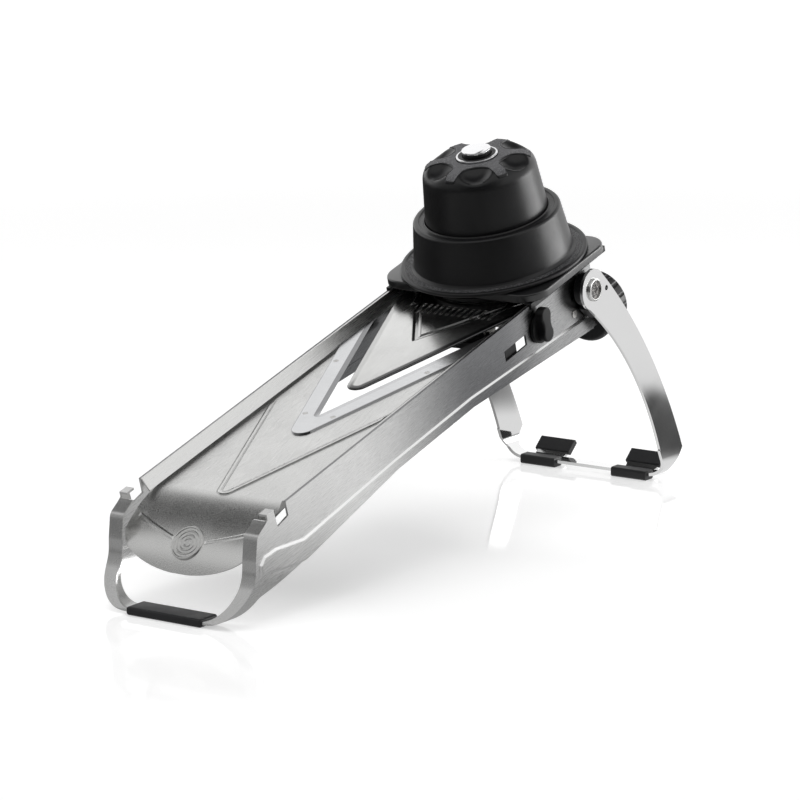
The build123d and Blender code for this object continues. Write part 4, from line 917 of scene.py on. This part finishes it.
def star_insert(material, props):
    """Grained star that lies in the cap's top, closed underneath."""
    lines = [(0.0, 0.0, -0.6), (0.0, 0.0, 0.30)]
    lines += [(share, 0.0, 0.32) for share in np.linspace(0.1, 0.9, 9)]
    lines += [(1.0, 0.5, 0.32), (1.0, 0.2, 0.22), (1.0, 0.0, 0.0), (1.0, 0.0, -0.6)]
    return star_piece("grip_star", lines, material, props, 40.0)


def star_bead(material, props):
    """Thin raised lip of the cap round the star."""
    lines = [(1.0, -0.05, -0.4), (1.0, -0.05, 0.30), (1.0, -0.25, 0.46), (1.0, -0.55, 0.42),
             (1.0, -0.8, 0.15), (1.0, -0.9, -0.4)]
    return star_piece("cap_star_lip", lines, material, props, 50.0)


# ---- operators ----
class SlicerOperator:
    bl_options = {"REGISTER", "UNDO"}


class OBJECT_OT_slicer_frame(SlicerOperator, bpy.types.Operator):
    """Bent sheet frame with its guide plates, rear plate, rivets and front pad"""
    bl_idname = "object.slicer_frame"
    bl_label = "Frame"

    def execute(self, context):
        dress("frame", "frame_sheet", wall_steel(), angle=24.0)
        dress("guide_plates", "guide_sheets", plain_steel())
        dress("rear_plate", "rear_sheet", plain_steel())
        dress("screw_bush", "dial_bush", turned_steel(), 0.0002)
        dress("comb_bushes", "lever_bushes", turned_steel(), 0.0002)
        dress("front_pad", "front_foot_pad", foot_rubber(), 0.0005, segments=3)
        dress("frame_rivets", "wall_rivets", turned_steel(), 0.0004, segments=3)
        return {"FINISHED"}


class OBJECT_OT_slicer_deck(SlicerOperator, bpy.types.Operator):
    """Deck with its rolled tongue, ringed medal, V blade, strap and screws"""
    bl_idname = "object.slicer_deck"
    bl_label = "Deck and blade"

    def execute(self, context):
        dress("deck", "deck_sheet", deck_steel(), 0.0003, segments=3, angle=20.0, flat=0.0)
        dress("v_blade", "v_blade_ground", blade_steel(), 0.0002)
        dress("blade_support", "blade_strap", plain_steel())
        dress("blade_screws", "blade_strap_screws", turned_steel(), 0.0002)
        self.medal()
        return {"FINISHED"}

    def medal(self):
        """Rings pressed into a low disc on the tongue's face."""
        low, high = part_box("deck_medal")
        centre = (low + high) / 2
        lean = SLOPE + MEDAL_LEAN
        axis = Vector((-math.sin(lean), 0.0, math.cos(lean)))
        side = Vector((math.cos(lean), 0.0, math.sin(lean)))
        turn = Matrix((side, ACROSS, axis)).transposed().to_4x4()
        top = max(v.co.dot(axis) for v in frame["nodes"]["deck_medal"].data.vertices)
        centre = Vector((centre.x, 0.0, centre.z))
        centre += axis * (top - centre.dot(axis))
        matrix = Matrix.Translation(centre) @ turn @ Matrix.Scale(MM, 4)
        field, ridge, back = -0.32, -0.05, -1.5
        profile = [(0.0, field)]
        for i in range(sizes().ring_count):
            start = 1.6 + i * 6.6 / sizes().ring_count
            profile += [(start, field), (start + 0.35, ridge), (start + 0.75, ridge), (start + 1.1, field)]
        profile += [(8.2, field), (8.6, 0.0), (9.1, 0.0), (MEDAL_RADIUS, -0.35), (MEDAL_RADIUS, back),
                    (0.0, back)]
        line = rounded_line([(*point, 0.12) for point in profile], 3)
        stands_for(lathe("tongue_medal", line, matrix, medal_steel(), 96, 40.0), "deck_medal")


class OBJECT_OT_slicer_ramp(SlicerOperator, bpy.types.Operator):
    """Ramp plate with its lift pins, cam slide and nut"""
    bl_idname = "object.slicer_ramp"
    bl_label = "Ramp and lift"

    def execute(self, context):
        dress("ramp", "ramp_sheet", ramp_steel(), 0.00035, segments=3, angle=25.0)
        dress("ramp_pins", "ramp_lift_pins", turned_steel(), 0.0003)
        dress("lift_slide", "cam_slide_sheet", plain_steel())
        dress("lift_nut", "cam_slide_nut", nut_brass(), 0.0003)
        return {"FINISHED"}


class OBJECT_OT_slicer_dial(SlicerOperator, bpy.types.Operator):
    """Thickness dial and its lead screw"""
    bl_idname = "object.slicer_dial"
    bl_label = "Thickness dial"

    def execute(self, context):
        dress("thickness_dial", "thickness_dial_knob", satin_moulding(), 0.0005, segments=3, angle=24.0)
        dress("lift_screw", "dial_lead_screw", turned_steel(), 0.0003)
        return {"FINISHED"}


class OBJECT_OT_slicer_comb(SlicerOperator, bpy.types.Operator):
    """Julienne comb with its shaft, side knob and clip"""
    bl_idname = "object.slicer_comb"
    bl_label = "Julienne comb"

    def execute(self, context):
        dress("comb_bar", "comb_tooth_bar", matt_moulding(), 0.0004)
        dress("comb_teeth", "comb_blade_teeth", turned_steel(), 0.00006)
        dress("comb_shaft", "comb_cross_shaft", turned_steel(), 0.0003)
        dress("comb_knob", "comb_side_knob", matt_moulding(), 0.0005, segments=3)
        dress("comb_shaft_clip", "comb_end_clip", turned_steel(), 0.0001)
        return {"FINISHED"}


class OBJECT_OT_slicer_leg(SlicerOperator, bpy.types.Operator):
    """Folding rear leg with liners, pivots, nuts and rubber shoes"""
    bl_idname = "object.slicer_leg"
    bl_label = "Rear leg"

    def execute(self, context):
        dress("rear_leg", "leg_band", leg_steel(), 0.0003, segments=3, angle=24.0)
        dress("leg_liners", "leg_head_liners", satin_moulding(), 0.0006, segments=3)
        dress("leg_pivots", "leg_pivot_screws", pivot_steel(), 0.0003, segments=3)
        dress("leg_nuts", "leg_pivot_nuts", turned_steel(), 0.0003)
        dress("leg_shoes", "leg_rubber_shoes", foot_rubber(), 0.0005, segments=3)
        dress("leg_tab_sleeves", "leg_rubber_sleeves", foot_rubber(), 0.0004, segments=3)
        return {"FINISHED"}


class OBJECT_OT_slicer_carriage(SlicerOperator, bpy.types.Operator):
    """Sliding carriage plate and its runners"""
    bl_idname = "object.slicer_carriage"
    bl_label = "Carriage"

    def execute(self, context):
        dress("carriage_plate", "carriage_plate_moulding", gloss_moulding(), 0.0006, segments=3)
        dress("carriage_runners", "carriage_runner_strips", satin_moulding(), 0.0002)
        return {"FINISHED"}


class OBJECT_OT_slicer_housing(SlicerOperator, bpy.types.Operator):
    """Turning pusher housing with its rolled brim, shoulder groove and retaining ring"""
    bl_idname = "object.slicer_housing"
    bl_label = "Pusher housing"

    def execute(self, context):
        line = rounded_line(HOUSING_LINE, 4)[:-1]
        shell = lathe("pusher_housing_shell", line, PUSHER, housing_moulding(), 192, 50.0, closed=True)
        stands_for(shell, "pusher_housing")
        dress("housing_ring", "housing_retainer", satin_moulding(), 0.0002)
        return {"FINISHED"}


class OBJECT_OT_slicer_plunger(SlicerOperator, bpy.types.Operator):
    """Dimpled plunger cap with its grained star, washer, spiked disc and spring"""
    bl_idname = "object.slicer_plunger"
    bl_label = "Plunger"

    def execute(self, context):
        props = sizes()
        stands_for(dimpled_cap(satin_moulding(), props), "plunger_cap")
        stands_for(star_insert(grip_rubber(), props), "grip_insert")
        lip = star_bead(satin_moulding(), props)
        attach(lip, "plunger")
        dress("button_washer", "button_trim_ring", trim_chrome(), 0.0003, segments=3)
        dress("spike_disc", "food_disc", grained_moulding(), 0.0002)
        self.spikes()
        self.spring()
        return {"FINISHED"}

    def spikes(self):
        """Three circles of spikes that stand from their points, low under the disc, up to the disc."""
        points_height = 18.6
        numbers = {"Radius": 1.1, "Length": 13.9, "Point length": 3.0, "Head radius": 1.1,
                   "Head thickness": 0.4}
        tree = stud_tree("spike_rows", turned_steel(), numbers)
        places = []
        for radius, count in ((10.0, 6), (19.0, 12), (27.5, 16)):
            places += [(radius * math.cos(turn), radius * math.sin(turn), 0.0) for turn in around(count)]
        matrix = PUSHER @ Matrix.Translation((0.0, 0.0, points_height))
        stands_for(grown("food_spike_rows", tree, numbers, places, matrix, turned_steel()), "food_spikes")

    def spring(self):
        numbers = {"Radius": 38.2, "Turns": sizes().spring_turns, "Height": 16.2, "Wire": 1.4}
        tree = coil_tree("plunger_coil", spring_steel())
        wound("plunger_spring_coil", tree, "plunger_spring", numbers, foot=15.5)


class OBJECT_OT_slicer_release(SlicerOperator, bpy.types.Operator):
    """Release button with its bright top, stem, ejector plate and spring"""
    bl_idname = "object.slicer_release"
    bl_label = "Release button"

    def execute(self, context):
        dress("release_button", "release_button_body", satin_moulding(), 0.0002)
        dress("button_cap", "release_button_top", bright_chrome(), 0.0002)
        dress("button_stem", "release_stem", turned_steel(), 0.0003)
        dress("ejector_plate", "food_ejector", grained_moulding(), 0.0002)
        numbers = {"Radius": 6.2, "Turns": 9.0, "Height": 28.6, "Wire": 1.0}
        tree = coil_tree("button_coil", spring_steel())
        wound("release_spring_coil", tree, "button_spring", numbers, foot=36.3)
        return {"FINISHED"}


# ---- studio ----
class OBJECT_OT_slicer_stage(SlicerOperator, bpy.types.Operator):
    """Pale floor, white surround, soft lamps and the camera"""
    bl_idname = "object.slicer_stage"
    bl_label = "Studio"

    def execute(self, context):
        self.floor()
        self.world(context)
        self.lamps()
        self.camera(context)
        context.scene.view_settings.view_transform = "Standard"
        return {"FINISHED"}

    def floor(self):
        """White where seen; mirrored metal sees it bright to the right and dim before the camera."""
        mesh = bpy.data.meshes.new("studio_floor")
        mesh.from_pydata([(-20, -20, 0), (20, -20, 0), (20, 20, 0), (-20, 20, 0)], [], [(0, 1, 2, 3)])
        sheet = Sheet("floor_paint", finish().floor, roughness=0.6, Specular_IOR_Level=0.0,
                      Coat_Roughness=0.06)
        along, across, _ = sheet.level_parts()
        front = self.spot(along, across, HOOP_SPOT, 0.05, 0.16)
        rear = self.spot(along, across, SHOE_SPOT, 0.06, 0.15)
        sheet.put("Coat Weight", front.higher(rear) * 0.8)
        far = (along * along + across * across).step(0.6, 5.0, 0.38, 1.0)
        seen = ray(sheet.tree, "Camera").higher(ray(sheet.tree, "Transmission"))
        glow = sheet.node("ShaderNodeEmission", None, {"Color": seen * far})
        ahead, right = facing(along, across)
        pool = self.spot(along, across, POOL_SPOT, 0.15, 0.34) * 0.42
        card = 1.0 - self.spot(along, across, CARD_SPOT, 0.06, 0.13) * 0.9
        level = (right.step(-0.05, 0.15) * ahead.step(-0.5, -0.2) * 0.85).higher(pool).higher(0.04) * card
        mirrored = sheet.node("ShaderNodeEmission", None, {"Color": level})
        paint = Wire(sheet.tree, sheet.shader.outputs[0])
        whole = sheet.node("ShaderNodeAddShader", None, {0: paint, 1: glow})
        pick = sheet.node("ShaderNodeMixShader", None, {0: ray(sheet.tree, "Glossy"), 1: whole, 2: mirrored})
        sheet.tree.links.new(pick.socket, sheet.tree.nodes["Material Output"].inputs[0])
        new_object("studio_floor", mesh, sheet.material)

    def spot(self, along, across, middle, inner, outer):
        """1 within the inner radius of a point on the floor, 0 beyond the outer one."""
        shift, drift = along - middle[0], across - middle[1]
        return (shift * shift + drift * drift).step(inner * inner, outer * outer, 1.0, 0.0)

    def world(self, context):
        """White backdrop; metal sees soft boxes behind, above and to the right, and a dark room between."""
        world = bpy.data.worlds.new("studio_world")
        context.scene.world = world
        world.use_nodes = True
        tree = world.node_tree
        seen = ray(tree, "Camera").higher(ray(tree, "Transmission"))
        mirror = ray(tree, "Glossy")
        forth, side, rise = parts_of(tree, Sheet.add(tree, "ShaderNodeTexCoord", output="Generated"))
        ahead, right = facing(forth, side)
        behind = ahead.step(-0.1, 0.3) * rise.step(0.63, 0.74, 1.15, 0.0)
        above = ahead.step(0.0, 0.2, 1.0, 0.0) * rise.step(0.45, 0.62, 0.0, 0.72)
        beside = right.step(0.4, 0.62) * rise.step(0.2, 0.5, 0.8, 1.0) * rise.step(0.62, 0.8, 1.0, 0.0)
        left = right.step(-0.8, -0.4, 0.36, 0.0) * ahead.step(-0.1, 0.2, 1.0, 0.0)
        room = behind.higher(above).higher(beside).higher(left).higher(0.03)
        shade = seen.higher((1.0 - seen) * (mirror * room + (1.0 - mirror) * 0.42))
        tree.links.new(shade.socket, tree.nodes["Background"].inputs["Color"])

    def lamps(self):
        for name, place, size, power, mirrored in (
                ("overhead_box", (0.1, 0.1, 1.5), (1.4, 1.4), 9.0, False),
                ("right_box", (0.95, -0.85, 0.2), (0.9, 0.3), 5.0, True),
                ("left_box", (-0.5, 1.3, 0.8), (0.9, 0.9), 3.0, False)):
            lamp = bpy.data.lights.new(name, "AREA")
            lamp.shape = "RECTANGLE"
            lamp.size, lamp.size_y = size
            lamp.energy = power
            item = bpy.data.objects.new(name, lamp)
            bpy.context.scene.collection.objects.link(item)
            item.visible_glossy = mirrored
            item.location = place
            item.rotation_euler = (Vector(LAMP_AIM) - Vector(place)).to_track_quat("-Z", "Y").to_euler()

    def camera(self, context):
        yaw, pitch, roll = (math.radians(angle) for angle in (CAMERA_YAW, CAMERA_PITCH, CAMERA_ROLL))
        level = math.cos(pitch)
        forward = Vector((math.cos(yaw) * level, math.sin(yaw) * level, math.sin(pitch)))
        right = forward.cross(Vector((0.0, 0.0, 1.0))).normalized()
        up = right.cross(forward)
        right, up = right * math.cos(roll) + up * math.sin(roll), up * math.cos(roll) - right * math.sin(roll)
        lens = bpy.data.cameras.new("studio_camera")
        lens.lens = CAMERA_LENS
        lens.sensor_width = 36.0
        item = bpy.data.objects.new("studio_camera", lens)
        context.scene.collection.objects.link(item)
        turn = Matrix((right, up, -forward)).transposed().to_4x4()
        item.matrix_world = Matrix.Translation(CAMERA_PLACE) @ turn
        context.scene.camera = item


# ---- panel and run ----
STEPS = (OBJECT_OT_slicer_frame, OBJECT_OT_slicer_deck, OBJECT_OT_slicer_ramp, OBJECT_OT_slicer_dial,
         OBJECT_OT_slicer_comb, OBJECT_OT_slicer_leg, OBJECT_OT_slicer_carriage, OBJECT_OT_slicer_housing,
         OBJECT_OT_slicer_plunger, OBJECT_OT_slicer_release, OBJECT_OT_slicer_stage)


class VIEW3D_PT_slicer(bpy.types.Panel):
    """Buttons for each group of pieces"""
    bl_idname = "VIEW3D_PT_slicer"
    bl_label = "Slicer"
    bl_space_type = "VIEW_3D"
    bl_region_type = "UI"
    bl_category = "Slicer"

    def draw(self, context):
        for step in STEPS:
            self.layout.operator(step.bl_idname)


CLASSES = (SlicerSizes, SlicerFinish, *STEPS, VIEW3D_PT_slicer)


def register():
    for item in CLASSES:
        bpy.utils.register_class(item)
    bpy.types.Scene.slicer_sizes = PointerProperty(type=SlicerSizes)
    bpy.types.Scene.slicer_finish = PointerProperty(type=SlicerFinish)


def unregister():
    del bpy.types.Scene.slicer_finish
    del bpy.types.Scene.slicer_sizes
    for item in reversed(CLASSES):
        bpy.utils.unregister_class(item)


def main():
    register()
    for step in STEPS:
        group, name = step.bl_idname.split(".")
        getattr(getattr(bpy.ops, group), name)()


if __name__ == "__main__":
    main()
